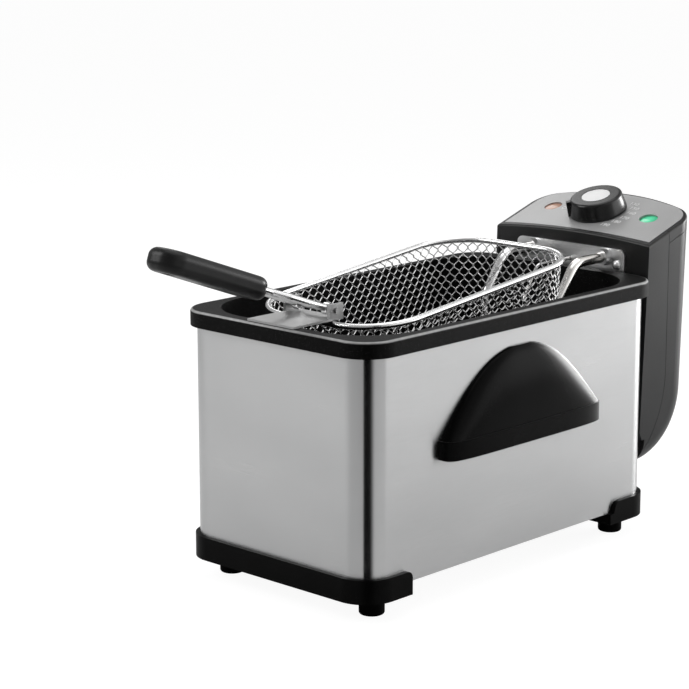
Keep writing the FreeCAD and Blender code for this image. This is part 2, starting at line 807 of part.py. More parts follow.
def front_prism(name, gap):
    """Everything in front of the curved seam, grown by a gap."""
    prism = new_body(name)
    face = new_sketch(prism, plane="YZ_Plane")
    arc = f"(seam_arc + {gap})"
    middle = "(head_seam - seam_arc)"
    near = "(head_front - flange_lean - 10)"
    low = f"(seam_bend - sqrt({arc} ^ 2 - ({near} - {middle}) ^ 2))"
    outline(face, [
        (near, low, arc), (f"head_seam + {gap}", "seam_bend", None),
        (f"head_seam + {gap}", "head_crown + 5", None), (near, "head_crown + 5", None)])
    feature(prism, "Pad", face, "4 * head_half", sides="Symmetric")
    return place(prism)


head_block = head_core("head_outside", "0", "0")
dress(head_block, "Fillet", on_crown, "head_edge")
place(head_block)
front_slab = simple("Box", "front_slab", Length="4 * head_half", Width="head_half + head_wall",
                    Height="2 * head_crown")
place(front_slab, "-2 * head_half", "head_front - head_half", "0")
cavity = combine("Cut", "head_cavity", place(head_core("head_inside", "head_wall", "panel_frame")), front_slab)


# The panel bed: a shallow D-shaped recess for the faceplate and a smaller window through the frame.
def panel_place(thing, x="0", s="0", lift="0"):
    """Sets a piece on the crest of the panel, s along the slope and lift along its normal."""
    return place(thing, x, f"head_front + ({s}) * cos(panel_tilt) - ({lift}) * sin(panel_tilt)",
                 f"head_top + ({s}) * sin(panel_tilt) + ({lift}) * cos(panel_tilt)", turn="panel_tilt")


def panel_plan(inset):
    slope = "((head_rear - head_front) / cos(panel_tilt))"
    return d_plan(f"(head_half - ({inset}))", f"({inset})", f"({slope} - ({inset}))",
                  "(head_rear_arc * cos(panel_tilt))", f"(head_corner + 2 - ({inset}))")


recess = new_body("panel_recess")
outline(new_sketch(recess, level="-2 * panel_crown - 2 * panel_sheet"), panel_plan("panel_border"))
feature(recess, "Pad", recess.Group[-1], "4 * panel_crown + 4 * panel_sheet")
shallow = combine("Cut", "shallow_recess", panel_place(recess), panel_drum("bed_drum", "panel_sheet + seat_gap"))
window = new_body("panel_window")
outline(new_sketch(window, level="-4 * panel_frame"), panel_plan("panel_border + panel_ledge"))
feature(window, "Pad", window.Group[-1], "8 * panel_frame")
bed = combine("Fuse", "panel_bed", shallow, panel_place(window))

# Front shell: the flat front wall of the head, pierced for the element legs, between two side flanges.
front_raw = combine("Common", "front_raw", head_block, front_prism("front_region", "0"))
front_open = combine("Cut", "front_open", front_raw, cavity)
front_bed = combine("Cut", "front_bed", front_open, bed)


def leg_hole(name, x, radius):
    hole = simple("Cylinder", name, Radius=radius, Height="4 * head_wall")
    return place(hole, x, "head_front - head_wall", "leg_z", turn="-90")


leg_holes = combine("Fuse", "leg_holes", leg_hole("leg_hole_left", "-leg_x", "tube_radius + seat_gap"),
                    leg_hole("leg_hole_right", "leg_x", "tube_radius + seat_gap"))
capillary_hole = simple("Cylinder", "capillary_hole", Radius="capillary_radius + seat_gap",
                        Height="4 * head_wall")
place(capillary_hole, "bulb_x", "head_front - head_wall", "capillary_z", turn="-90")
front_holes = combine("Fuse", "front_holes", leg_holes, capillary_hole)
front_wall = combine("Cut", "front_shell_cut", front_bed, front_holes)


def side_flange(name, level):
    """A thin wedge in line with one side of the head, which leans in to the housing below."""
    flange_body = new_body(name)
    wedge = new_sketch(flange_body, plane="YZ_Plane", level=level)
    outline(wedge, [
        ("head_front + head_wall", "flange_low", None), ("head_front + head_wall", "head_top - flange_drop", None),
        ("head_front", "head_top - flange_drop", None), ("head_front - flange_lean", "flange_low + flange_lean", None),
        ("head_front - flange_lean / 2", "flange_low", None)])
    feature(flange_body, "Pad", wedge, "head_wall")
    return place(flange_body)


flanges = combine("Fuse", "flange_pair", side_flange("flange_left", "-head_half"),
                  side_flange("flange_right", "head_half - head_wall"))
keep(combine("Fuse", "front_shell_whole", front_wall, flanges), "head_front_shell")

# Rear cover: the deep moulded back of the head, open to the front shell, with a round heel.
rear_raw = combine("Cut", "rear_raw", head_block, front_prism("front_region_wide", "seam_gap"))
cover_low = combine("Cut", "cover_low", rear_raw, above_panel("cap_space", "-cap_depth - seam_gap"))
cover_open = combine("Cut", "cover_open", cover_low, cavity)
inlet_hole = simple("Box", "inlet_hole", Length="inlet_width + 2 * seat_gap", Width="2 * inlet_depth",
                    Height="inlet_height + 2 * seat_gap")
place(inlet_hole, "-inlet_width / 2 - seat_gap", "inlet_rear - inlet_depth",
      "inlet_z - inlet_height / 2 - seat_gap")
button_hole = simple("Cylinder", "button_hole", Radius="button_radius + slide_gap", Height="40")
place(button_hole, "button_x", "button_tail", "button_z", turn="-90")
rear_holes = combine("Fuse", "rear_holes", inlet_hole, button_hole)
keep(combine("Cut", "rear_cover_cut", cover_open, rear_holes), "head_rear_cover")

# Top cap: the bowed rear frame around the panel.
cap_raw = combine("Common", "cap_raw", rear_raw, above_panel("cap_region", "-cap_depth"))
cap_open = combine("Cut", "cap_open", cap_raw, cavity)
keep(combine("Cut", "top_cap_cut", cap_open, bed), "head_top_cap")

# Control panel: a thin crowned D-shaped faceplate with holes for the shaft and the two lamp lenses.
faceplate = new_body("faceplate")
face_sketch = new_sketch(faceplate, level="-2 * panel_crown - 2 * panel_sheet")
outline(face_sketch, panel_plan("panel_border + panel_gap"))
circle_at(face_sketch, "0", "dial_s", "shaft_radius + 2 * slide_gap")
circle_at(face_sketch, "lamp_x", "lamp_s", "lens_radius + seat_gap")
circle_at(face_sketch, "-lamp_x", "lamp_s", "lens_radius + seat_gap")
feature(faceplate, "Pad", face_sketch, "4 * panel_crown + 4 * panel_sheet")
face_bowed = combine("Common", "face_bowed", panel_place(faceplate), panel_drum("face_drum", "0"))
keep(combine("Cut", "face_sheet", face_bowed, panel_drum("under_drum", "panel_sheet")), "control_panel")


# Lamp lenses: clear mouldings let into the panel from below, each a low dome in its hole on a flange.
def lens(name, x):
    jewel = new_body(name + "_jewel")
    half = new_sketch(jewel, plane="XZ_Plane")
    bow = "((lens_radius ^ 2 + lens_dome ^ 2) / (2 * lens_dome))"
    seat = "(-panel_sheet - lens_slack)"
    outline(half, [
        ("0", "-lens_stem_length", None), ("lens_stem", "-lens_stem_length", None),
        ("lens_stem", f"{seat} - 1.5", None), ("lens_flange", f"{seat} - 1.5", None), ("lens_flange", seat, None),
        ("lens_radius", seat, None), ("lens_radius", "-lens_sink - lens_dome", bow), ("0", "-lens_sink", None)])
    spin = jewel.newObject("PartDesign::Revolution", name + "_spin")
    spin.Profile = half
    spin.ReferenceAxis = (half, ["V_Axis"])
    spin.Angle = 360
    keep(panel_place(jewel, x, "lamp_s", "-lamp_fall"), name)


lens("ready_lens", "lamp_x")
lens("power_lens", "-lamp_x")

# Thermostat: a boxed switch under the panel, bored for the shaft.
case = simple("Box", "thermostat_case", Length="thermostat_width", Width="thermostat_length",
              Height="thermostat_depth")
panel_place(case, "-thermostat_width / 2", "dial_s - thermostat_length / 2",
            "-panel_sheet - thermostat_drop - thermostat_depth")
case_bore = simple("Cylinder", "thermostat_bore", Radius="shaft_radius + slide_gap",
                   Height="2 * thermostat_depth")
panel_place(case_bore, "0", "dial_s", "-shaft_tail - 2 * slide_gap")
keep(combine("Cut", "thermostat_cut", case, case_bore), "thermostat_body")

# Knob: a stout turned cap with a dished top and a pointer rib on its side, on a steel shaft.
knob = new_body("knob_turning")
knob_half = new_sketch(knob, plane="XZ_Plane")
hub = "(shaft_radius + 0.1)"
dish = "(knob_height - knob_cap_sheet)"
outline(knob_half, [
    (hub, "knob_lift", None), ("knob_radius", "knob_lift", None),
    ("knob_radius", "knob_lift + knob_skirt", None),
    ("knob_top_radius", "knob_height - knob_round", "knob_round"),
    ("knob_top_radius - knob_round", "knob_height", None),
    ("knob_cap_radius + seat_gap", "knob_height", None),
    ("knob_cap_radius + seat_gap", dish, None),
    (f"{hub} - 1.5", dish, None), (f"{hub} - 1.5", "shaft_head + 0.1", None),
    (hub, "shaft_head + 0.1", None)])
knob_spin = knob.newObject("PartDesign::Revolution", "knob_spin")
knob_spin.Profile = knob_half
knob_spin.ReferenceAxis = (knob_half, ["V_Axis"])
knob_spin.Angle = 360


def around(radius, across):
    """A point of the knob's plan, out along the pointer and across it."""
    return (f"{radius} * cos(pointer_turn * 1 deg) - ({across}) * sin(pointer_turn * 1 deg)",
            f"{radius} * sin(pointer_turn * 1 deg) + ({across}) * cos(pointer_turn * 1 deg)", None)


rib = new_sketch(knob, level="knob_lift")
rib_out = "(knob_radius + pointer_proud)"
outline(rib, [around("(knob_cap_radius + 4)", "-pointer_width / 2"), around(rib_out, "-pointer_width / 2"),
              around(rib_out, "pointer_width / 2"), around("(knob_cap_radius + 4)", "pointer_width / 2")])
feature(knob, "Pad", rib, "knob_height - knob_lift - knob_round / 2")
keep(panel_place(knob, "0", "dial_s"), "temperature_knob")

knob_disc = simple("Cylinder", "knob_disc", Radius="knob_cap_radius", Height="knob_cap_sheet - 0.3")
keep(panel_place(knob_disc, "0", "dial_s", "knob_height - knob_cap_sheet + 0.05"), "knob_cap")

shaft = simple("Cylinder", "shaft_rod", Radius="shaft_radius", Height="shaft_tail + shaft_head")
keep(panel_place(shaft, "0", "dial_s", "-shaft_tail"), "thermostat_shaft")

# Element plate: a polished steel mounting plate on the front of the head.
mount = new_body("mount_plate")
mount_face = new_sketch(mount, plane="XZ_Plane", level="-head_front")
outline(mount_face, round_box("plate_half", "((plate_top - plate_bottom) / 2)", "plate_corner",
                              "(plate_top + plate_bottom) / 2"))
for leg_side in ("-leg_x", "leg_x"):
    circle_at(mount_face, leg_side, "leg_z", "tube_radius + seat_gap")
circle_at(mount_face, "bulb_x", "capillary_z", "capillary_radius + seat_gap")
feature(mount, "Pad", mount_face, "plate_sheet")
keep(place(mount), "element_plate")


# Cap nuts: small domed nuts that clamp the plate to the head.
def cap_nut(name, x):
    nut = new_body(name + "_dome")
    half = new_sketch(nut, plane="XZ_Plane")
    bow = "((nut_radius ^ 2 + (nut_height - 1) ^ 2) / (2 * (nut_height - 1)))"
    outline(half, [("0", "0", None), ("nut_radius", "0", None), ("nut_radius", "1", bow),
                   ("0", "nut_height", None)])
    spin = nut.newObject("PartDesign::Revolution", name + "_spin")
    spin.Profile = half
    spin.ReferenceAxis = (half, ["V_Axis"])
    spin.Angle = 360
    keep(place(nut, x, "head_front - plate_sheet", "nut_z", turn="90"), name)


cap_nut("plate_nut_left", "-nut_x")
cap_nut("plate_nut_right", "nut_x")

# Basket frame of reference: the rim plane, tipped about X, with its rear edge at a set point.
basket_y = "(basket_rear_y - basket_length / 2 * cos(basket_tip))"
basket_z = "(basket_rear_z - basket_length / 2 * sin(basket_tip))"
basket_inset = "(basket_depth * tan(basket_taper))"
ring_out = "(ring_wire + 0.5)"


def basket_place(thing):
    return place(thing, "0", basket_y, basket_z, turn="basket_tip")


# Heating element: one bent tube, over the rear rim, down behind the basket and in an M on the floor.
tip = math.radians(num("basket_tip"))
slope = math.radians(num("riser_slope"))
ring_y = num(f"basket_length / 2 - {basket_inset} + {ring_out}")
ring_z = -num("basket_depth")
touch_y = num(basket_y) + ring_y * math.cos(tip) - ring_z * math.sin(tip)
touch_z = num(basket_z) + ring_y * math.sin(tip) + ring_z * math.cos(tip)
stand_off = num("ring_wire + tube_radius + seat_gap")
slope_y = touch_y + stand_off * math.sin(slope)
slope_z = touch_z - stand_off * math.cos(slope)
elbow_z = slope_z + (num("riser_y") - slope_y) * math.tan(slope)
heel_y = slope_y - (slope_z - num("loop_z")) / math.tan(slope)


def element_half(side):
    """The run of the tube from the head to the middle of the rear loop, on one side."""
    leg = side * num("leg_x")
    outer = side * num("loop_outer_x")
    inner = side * num("loop_inner_x")
    floor = num("loop_z")
    front = -num("loop_front_y")
    return [
        vec(leg, num("leg_tail"), num("leg_z")),
        vec(leg, num("leg_bend_y"), num("leg_z")),
        vec(leg, num("riser_y"), num("riser_knee_z")),
        vec(leg, num("riser_y"), elbow_z),
        vec(leg, heel_y, floor),
        vec(outer, heel_y - 30, floor),
        vec(outer, front, floor),
        vec(inner, front, floor),
        vec(inner, num("loop_rear_y"), floor)]


element_path = element_half(1) + element_half(-1)[::-1]
element = coded("element_tube", bent_wire(element_path, num("tube_bend"), num("tube_radius")))
keep(place(element), "heating_element")


# Ferrules: brazed collars where the legs meet the plate.
def ferrule(name, x):
    collar = simple("Cylinder", name + "_collar", Radius="ferrule_radius", Height="ferrule_length")
    place(collar, x, "head_front - plate_sheet", "leg_z", turn="90")
    bore = simple("Cylinder", name + "_bore", Radius="tube_radius + 0.1", Height="3 * ferrule_length")
    place(bore, x, "head_front + ferrule_length", "leg_z", turn="90")
    keep(combine("Cut", name + "_cut", collar, bore), name)


ferrule("ferrule_left", "-leg_x")
ferrule("ferrule_right", "leg_x")

# Element clip: a flat bar laid across the four runs of the loop.
clip = simple("Box", "clip_bar", Length="2 * (loop_outer_x + tube_radius)", Width="clip_width",
              Height="clip_sheet")
keep(place(clip, "-loop_outer_x - tube_radius", "-clip_y - clip_width / 2",
           "loop_z + tube_radius + 0.05"), "element_clip")

# Sensor: a steel bulb on the loop and its capillary tube up to the thermostat.
bulb_z = num("loop_z + tube_radius + 0.1 + bulb_radius")
bulb_rear = -num("clip_y - clip_width / 2 - 1") + num("bulb_length")
bulb_front = bulb_rear - num("bulb_length")
sensor_x = num("bulb_x")
capillary_path = [
    vec(sensor_x, num("leg_tail"), num("capillary_z")),
    vec(sensor_x, num("riser_y + 20"), num("capillary_z")),
    vec(sensor_x, num("riser_y + 4"), num("riser_knee_z")),
    vec(sensor_x, num("riser_y + 4"), elbow_z),
    vec(sensor_x, heel_y + 12, bulb_z),
    vec(sensor_x, bulb_rear - 1, bulb_z)]
capillary = bent_wire(capillary_path, 8.0, num("capillary_radius"))
bulb = Part.makeCylinder(num("bulb_radius"), num("bulb_length"), vec(sensor_x, bulb_front, bulb_z),
                         vec(0, 1, 0))
keep(place(coded("sensor_tube", capillary.fuse(bulb))), "sensor_bulb")


# Tongues: T-shaped runners under the front wall of the head that drop into the rails.
def tongue(name, x):
    runner = new_body(name + "_runner")
    section = new_sketch(runner, level="rail_bottom + rail_floor + seat_gap")
    step = "tongue_y + tongue_sheet"
    outline(section, [
        ("tongue_width / 2", "tongue_y", None), ("tongue_width / 2", step, None),
        ("tongue_neck / 2", step, None), ("tongue_neck / 2", "head_front", None),
        ("-tongue_neck / 2", "head_front", None), ("-tongue_neck / 2", step, None),
        ("-tongue_width / 2", step, None), ("-tongue_width / 2", "tongue_y", None)])
    feature(runner, "Pad", section, "rail_top - rail_bottom - rail_floor - seat_gap")
    keep(place(runner, x), name)


tongue("head_tongue_left", "-rail_x")
tongue("head_tongue_right", "rail_x")

# Interlock switch: a small block on the front wall that the peg presses.
lock = simple("Box", "interlock_block", Length="switch_width", Width="switch_depth", Height="switch_height")
keep(place(lock, "-switch_width / 2", "head_front - switch_depth", "peg_z - switch_height / 2"),
     "interlock_switch")

# Terminal block: screwed to the inside of the front wall.
terminal = simple("Box", "terminal_box", Length="terminal_width", Width="terminal_depth",
                  Height="terminal_height")
keep(place(terminal, "-terminal_width / 2", "head_front + head_wall + 0.1",
           "terminal_z - terminal_height / 2"), "terminal_block")

# Power inlet: a moulded socket let into the rear cover, with two contact pins.
socket = new_body("inlet_cup")
socket_face = new_sketch(socket, plane="XZ_Plane", level="-inlet_rear")
outline(socket_face, box_path("-inlet_width / 2", "inlet_width / 2", "-inlet_height / 2",
                              "inlet_height / 2"))
feature(socket, "Pad", socket_face, "inlet_depth")
mouth_face = new_sketch(socket, plane="XZ_Plane", level="-inlet_rear")
outline(mouth_face, box_path("-inlet_width / 2 + inlet_wall", "inlet_width / 2 - inlet_wall",
                             "-inlet_height / 2 + inlet_wall", "inlet_height / 2 - inlet_wall"))
feature(socket, "Pocket", mouth_face, "inlet_recess", flipped=True)
keep(place(socket, "0", "0", "inlet_z"), "inlet_socket")


def contact(name, x):
    pin = simple("Cylinder", name + "_rod", Radius="pin_radius", Height="pin_length")
    keep(place(pin, x, "inlet_rear - inlet_recess", "inlet_z", turn="-90"), name)


contact("inlet_pin_left", "-pin_pitch / 2")
contact("inlet_pin_right", "pin_pitch / 2")

# Reset: a small push button in the rear cover and the cut-out that it works.
button = simple("Cylinder", "button_rod", Radius="button_radius", Height="button_rear - button_tail + 3")
keep(place(button, "button_x", "button_tail", "button_z", turn="-90"), "reset_button")
cutout = simple("Box", "cutout_box", Length="cutout_width", Width="cutout_depth + cutout_lap",
                Height="cutout_width")
place(cutout, "button_x - cutout_width / 2", "button_tail - button_travel - seat_gap - cutout_depth",
      "button_z - cutout_width / 2")
cutout_bore = simple("Cylinder", "cutout_bore", Radius="button_radius + slide_gap", Height="cutout_depth")
place(cutout_bore, "button_x", "button_tail - button_travel - seat_gap", "button_z", turn="-90")
keep(combine("Cut", "cutout_cut", cutout, cutout_bore), "thermal_cutout")


# Screws: two flat heads low on the front wall of the head, behind the housing.
def screw(name, x):
    head = simple("Cylinder", name + "_head", Radius="screw_radius", Height="screw_head")
    keep(place(head, x, "head_front", "screw_z", turn="90"), name)


screw("head_screw_left", "-screw_x")
screw("head_screw_right", "screw_x")


# Basket wires: a stout round rim above and a lighter ring round the foot of the walls.
def wire_ring(name, half_x, half_y, corner, level, radius):
    loop = new_body(name + "_loop")
    spine = new_sketch(loop, level=level)
    path = round_box(half_x, half_y, corner)
    path.insert(1, (half_x, "0", None))
    path = path[1:] + path[:1]
    outline(spine, path)
    section = new_sketch(loop, plane="XZ_Plane")
    circle_at(section, half_x, level, radius)
    pipe = loop.newObject("PartDesign::AdditivePipe", name + "_pipe")
    pipe.Profile = section
    pipe.Spine = spine
    keep(basket_place(loop), name)


wire_ring("basket_rim", "basket_half", "(basket_length / 2)", "basket_corner", "0", "rim_wire")
wire_ring("basket_foot_ring", f"(basket_half - {basket_inset} + {ring_out})",
          f"(basket_length / 2 - {basket_inset} + {ring_out})",
          f"(basket_corner - {basket_inset} + {ring_out})", "-basket_depth", "ring_wire")


# Basket net: flat panels on the four sides, coned corners and a flat floor, each one holed sheet.
def net_holes(width, height):
    """Square gaps, evenly spread over a sheet, as closed wires on the XY plane."""
    pitch = num("net_pitch")
    across = max(int(round(width / pitch)), 1)
    down = max(int(round(height / pitch)), 1)
    bar = pitch - num("net_gap")
    wide = width / across - bar
    tall = height / down - bar
    holes = []
    for column in range(across):
        for line in range(down):
            x = width * (column + 0.5) / across - width / 2 - wide / 2
            y = height * (line + 0.5) / down - tall / 2
            holes.append(Part.makePolygon([vec(x, y, 0), vec(x + wide, y, 0), vec(x + wide, y + tall, 0),
                                           vec(x, y + tall, 0), vec(x, y, 0)]))
    return holes


def holed_face(edge, holes):
    return Part.makeFace([edge] + holes, "Part::FaceMakerBullseye")


def wall_panel(half, run, turn):
    """A flat net leaning in with depth, its top edge at a half width, turned about the vertical."""
    lean = math.radians(num("basket_taper"))
    top = -num("rim_wire + 0.1")
    height = (num("basket_depth") + top - 0.1) / math.cos(lean)
    start = half + top * math.tan(lean)
    width = run - 0.1
    edge = Part.makePolygon([vec(-width / 2, 0, 0), vec(width / 2, 0, 0), vec(width / 2, height, 0),
                             vec(-width / 2, height, 0), vec(-width / 2, 0, 0)])
    sheet_face = holed_face(edge, net_holes(width, height))
    net = sheet_face.extrude(vec(0, 0, num("net_sheet")))
    down = vec(-math.sin(lean), 0, -math.cos(lean))
    along = vec(0, 1, 0)
    inward = along.cross(down)
    net.Placement = FreeCAD.Placement(vec(start, 0, top), FreeCAD.Rotation(along, down, inward, "XYZ"))
    holder = net.copy()
    holder.rotate(vec(0, 0, 0), vec(0, 0, 1), turn)
    return holder


def corner_net(turn_sign_x, turn_sign_y):
    """A quarter of a coned sheet with gaps in rows, standing at one corner of the basket."""
    lean = math.tan(math.radians(num("basket_taper")))
    top = -num("rim_wire + 0.1")
    foot = -num("basket_depth") + 0.1
    rim = num("basket_corner")
    thick = num("net_sheet") / math.cos(math.radians(num("basket_taper")))
    upper = rim + top * lean
    lower = rim + foot * lean
    flank = Part.makePolygon([vec(upper, 0, top), vec(upper - thick, 0, top), vec(lower - thick, 0, foot),
                              vec(lower, 0, foot), vec(upper, 0, top)])
    quarter = Part.Face(flank).revolve(vec(0, 0, 0), vec(0, 0, 1), 90)
    rows = max(int(round((top - foot) / num("net_pitch"))), 1)
    fan = max(int(round(rim * math.pi / 2 / num("net_pitch") * 0.8)), 1)
    bar = num("net_pitch - net_gap")
    tall = (top - foot) / rows - bar
    cutters = []
    for line in range(rows):
        low = foot + (top - foot) * (line + 0.5) / rows - tall / 2
        for spoke in range(fan):
            angle = 90 * (spoke + 0.5) / fan
            wide = (rim + low * lean) * math.radians(90 / fan) - bar
            gap = Part.makeBox(4 * thick, wide, tall, vec(rim + low * lean - 2 * thick, -wide / 2, low))
            gap.rotate(vec(0, 0, 0), vec(0, 0, 1), angle)
            cutters.append(gap)
    net = quarter.cut(cutters)
    net.translate(vec(num("basket_half") - rim, num("basket_length / 2") - rim, 0))
    if turn_sign_x < 0:
        net = net.mirror(vec(0, 0, 0), vec(1, 0, 0))
    if turn_sign_y < 0:
        net = net.mirror(vec(0, 0, 0), vec(0, 1, 0))
    return net


side_run = num("basket_length - 2 * basket_corner")
end_run = num("2 * basket_half - 2 * basket_corner")
basket_side = num("basket_half")
basket_end = num("basket_length / 2")
long_walls = Part.makeCompound([wall_panel(basket_side, side_run, 0), wall_panel(basket_side, side_run, 180)])
end_walls = Part.makeCompound([wall_panel(basket_end, end_run, 90), wall_panel(basket_end, end_run, 270)])
corners = Part.makeCompound([corner_net(1, 1), corner_net(-1, 1), corner_net(1, -1), corner_net(-1, -1)])
keep(basket_place(coded("side_net", long_walls)), "basket_side_net")
keep(basket_place(coded("end_net", end_walls)), "basket_end_net")
keep(basket_place(coded("corner_nets", corners)), "basket_corner_net")


def floor_net():
    """The floor of the basket: a rounded sheet with square gaps clear of its corners."""
    half_x = num(f"basket_half - {basket_inset}")
    half_y = num(f"basket_length / 2 - {basket_inset}")
    corner = num(f"basket_corner - {basket_inset}")
    level = -num("basket_depth")
    block = Part.makeBox(2 * half_x, 2 * half_y, num("net_sheet"),
                         vec(-half_x, -half_y, level - num("net_sheet")))
    upright = [edge for edge in block.Edges if edge.BoundBox.ZLength > num("net_sheet") / 2]
    block = block.makeFillet(corner, upright)
    top = [face for face in block.Faces if face.CenterOfMass.z > level - 1e-6][0]
    gaps = []
    for hole in net_holes(2 * half_x - 4, 2 * half_y - 4):
        hole.translate(vec(0, 2 - half_y, level))
        reach = [math.hypot(max(abs(v.X) - half_x + corner, 0), max(abs(v.Y) - half_y + corner, 0))
                 for v in hole.Vertexes]
        if max(reach) < corner - 1.5:
            gaps.append(hole)
    outer = Part.Wire(Part.__sortEdges__(top.OuterWire.Edges))
    return holed_face(outer, gaps).extrude(vec(0, 0, -num("net_sheet")))


keep(basket_place(coded("floor_sheet", floor_net())), "basket_floor_net")

# Handle bracket: a bent strip on the front of the rim that hooks over the pot, with two pierced ears.
bracket = new_body("bracket_strip")
strip = new_sketch(bracket, level="rim_top + seat_gap")
outline(strip, box_path("-bracket_half", "bracket_half", "-bracket_front", "-bracket_rear"))
feature(bracket, "Pad", strip, "bracket_sheet")
for near, far in (("bracket_half - ear_sheet", "bracket_half"), ("-bracket_half", "ear_sheet - bracket_half")):
    ear = new_sketch(bracket, level="rim_top + seat_gap")
    outline(ear, box_path(near, far, "-pivot_y - ear_length / 2", "ear_length / 2 - pivot_y"))
    feature(bracket, "Pad", ear, "ear_height")
pierce = new_sketch(bracket, plane="YZ_Plane")
circle_at(pierce, "-pivot_y", "pivot_z", "pivot_radius + 0.1")
feature(bracket, "Pocket", pierce, "4 * bracket_half", sides="Symmetric")
keep(place(bracket), "handle_bracket")

pivot = simple("Cylinder", "pivot_rod", Radius="pivot_radius", Height="2 * bracket_half + 3")
keep(place(pivot, "-bracket_half - 1.5", "-pivot_y", "pivot_z", axis=(0, 1, 0), turn="90"), "handle_pivot")


# Folding handle: two bent wires with eyes on the pivot, both let into one moulded grip.
def handle_leg(side):
    run = [
        vec(side * num("eye_x"), -num("eye_radius") * 0.8, 0),
        vec(side * num("eye_x"), -num("handle_neck"), 0),
        vec(side * num("handle_waist"), -num("grip_start") + 4, 0),
        vec(side * num("handle_waist"), -num("grip_start + handle_insert"), 0)]
    wire = bent_wire(run, 6.0, num("handle_wire"))
    start = vec(side * num("eye_x") - num("eye_width") / 2, 0, 0)
    eye = Part.makeCylinder(num("eye_radius"), num("eye_width"), start, vec(1, 0, 0))
    bore = Part.makeCylinder(num("pivot_radius + pivot_gap"), num("2 * eye_width"),
                             start - vec(num("eye_width") / 2, 0, 0), vec(1, 0, 0))
    return wire.fuse(eye).cut(bore)


def handle_place(thing):
    return place(thing, "0", "-pivot_y", "pivot_z", axis=(-1, 0, 0), turn="handle_rise")


legs = Part.makeCompound([handle_leg(1), handle_leg(-1)])
keep(handle_place(coded("handle_wires", legs)), "handle_frame")

grip = new_body("grip_moulding")
grip_plan = new_sketch(grip, level="-grip_thick / 2")
outline(grip_plan, round_box("(grip_width / 2)", "(grip_length / 2)", "(grip_width / 2 - 2)",
                             "-grip_start - grip_length / 2"))
feature(grip, "Pad", grip_plan, "grip_thick")


def grip_edge(edge):
    half = num("grip_thick") / 2
    return level_edge(half)(edge) or level_edge(-half)(edge)


dress(grip, "Fillet", grip_edge, "grip_round")
sockets = new_sketch(grip, plane="XZ_Plane", level="grip_start - 2")
for side_x in ("-handle_waist", "handle_waist"):
    circle_at(sockets, side_x, "0", "handle_wire + 0.1")
feature(grip, "Pocket", sockets, "handle_insert + 3", flipped=True)
hang = new_sketch(grip, level="grip_thick")
outline(hang, round_box("5", "4.5", "3.5", "-grip_start - grip_length + 14"))
feature(grip, "Pocket", hang, "2 * grip_thick")
keep(handle_place(grip), "handle_grip")

doc.recompute()
for item in doc.Objects:
    if "Invalid" in item.State or "Error" in item.State:
        raise RuntimeError(f"{item.Label} did not build: {item.State}")
os.makedirs("parts", exist_ok=True)
for item in PARTS:
    if item.Shape.isNull() or not item.Shape.isValid() or not item.Shape.Solids:
        raise RuntimeError(f"{item.Label} has no sound solid")
for item in PARTS:
    item.Shape.exportStep(f"parts/{item.Label}.step")
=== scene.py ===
import math

import bpy
import numpy as np
from mathutils import Matrix


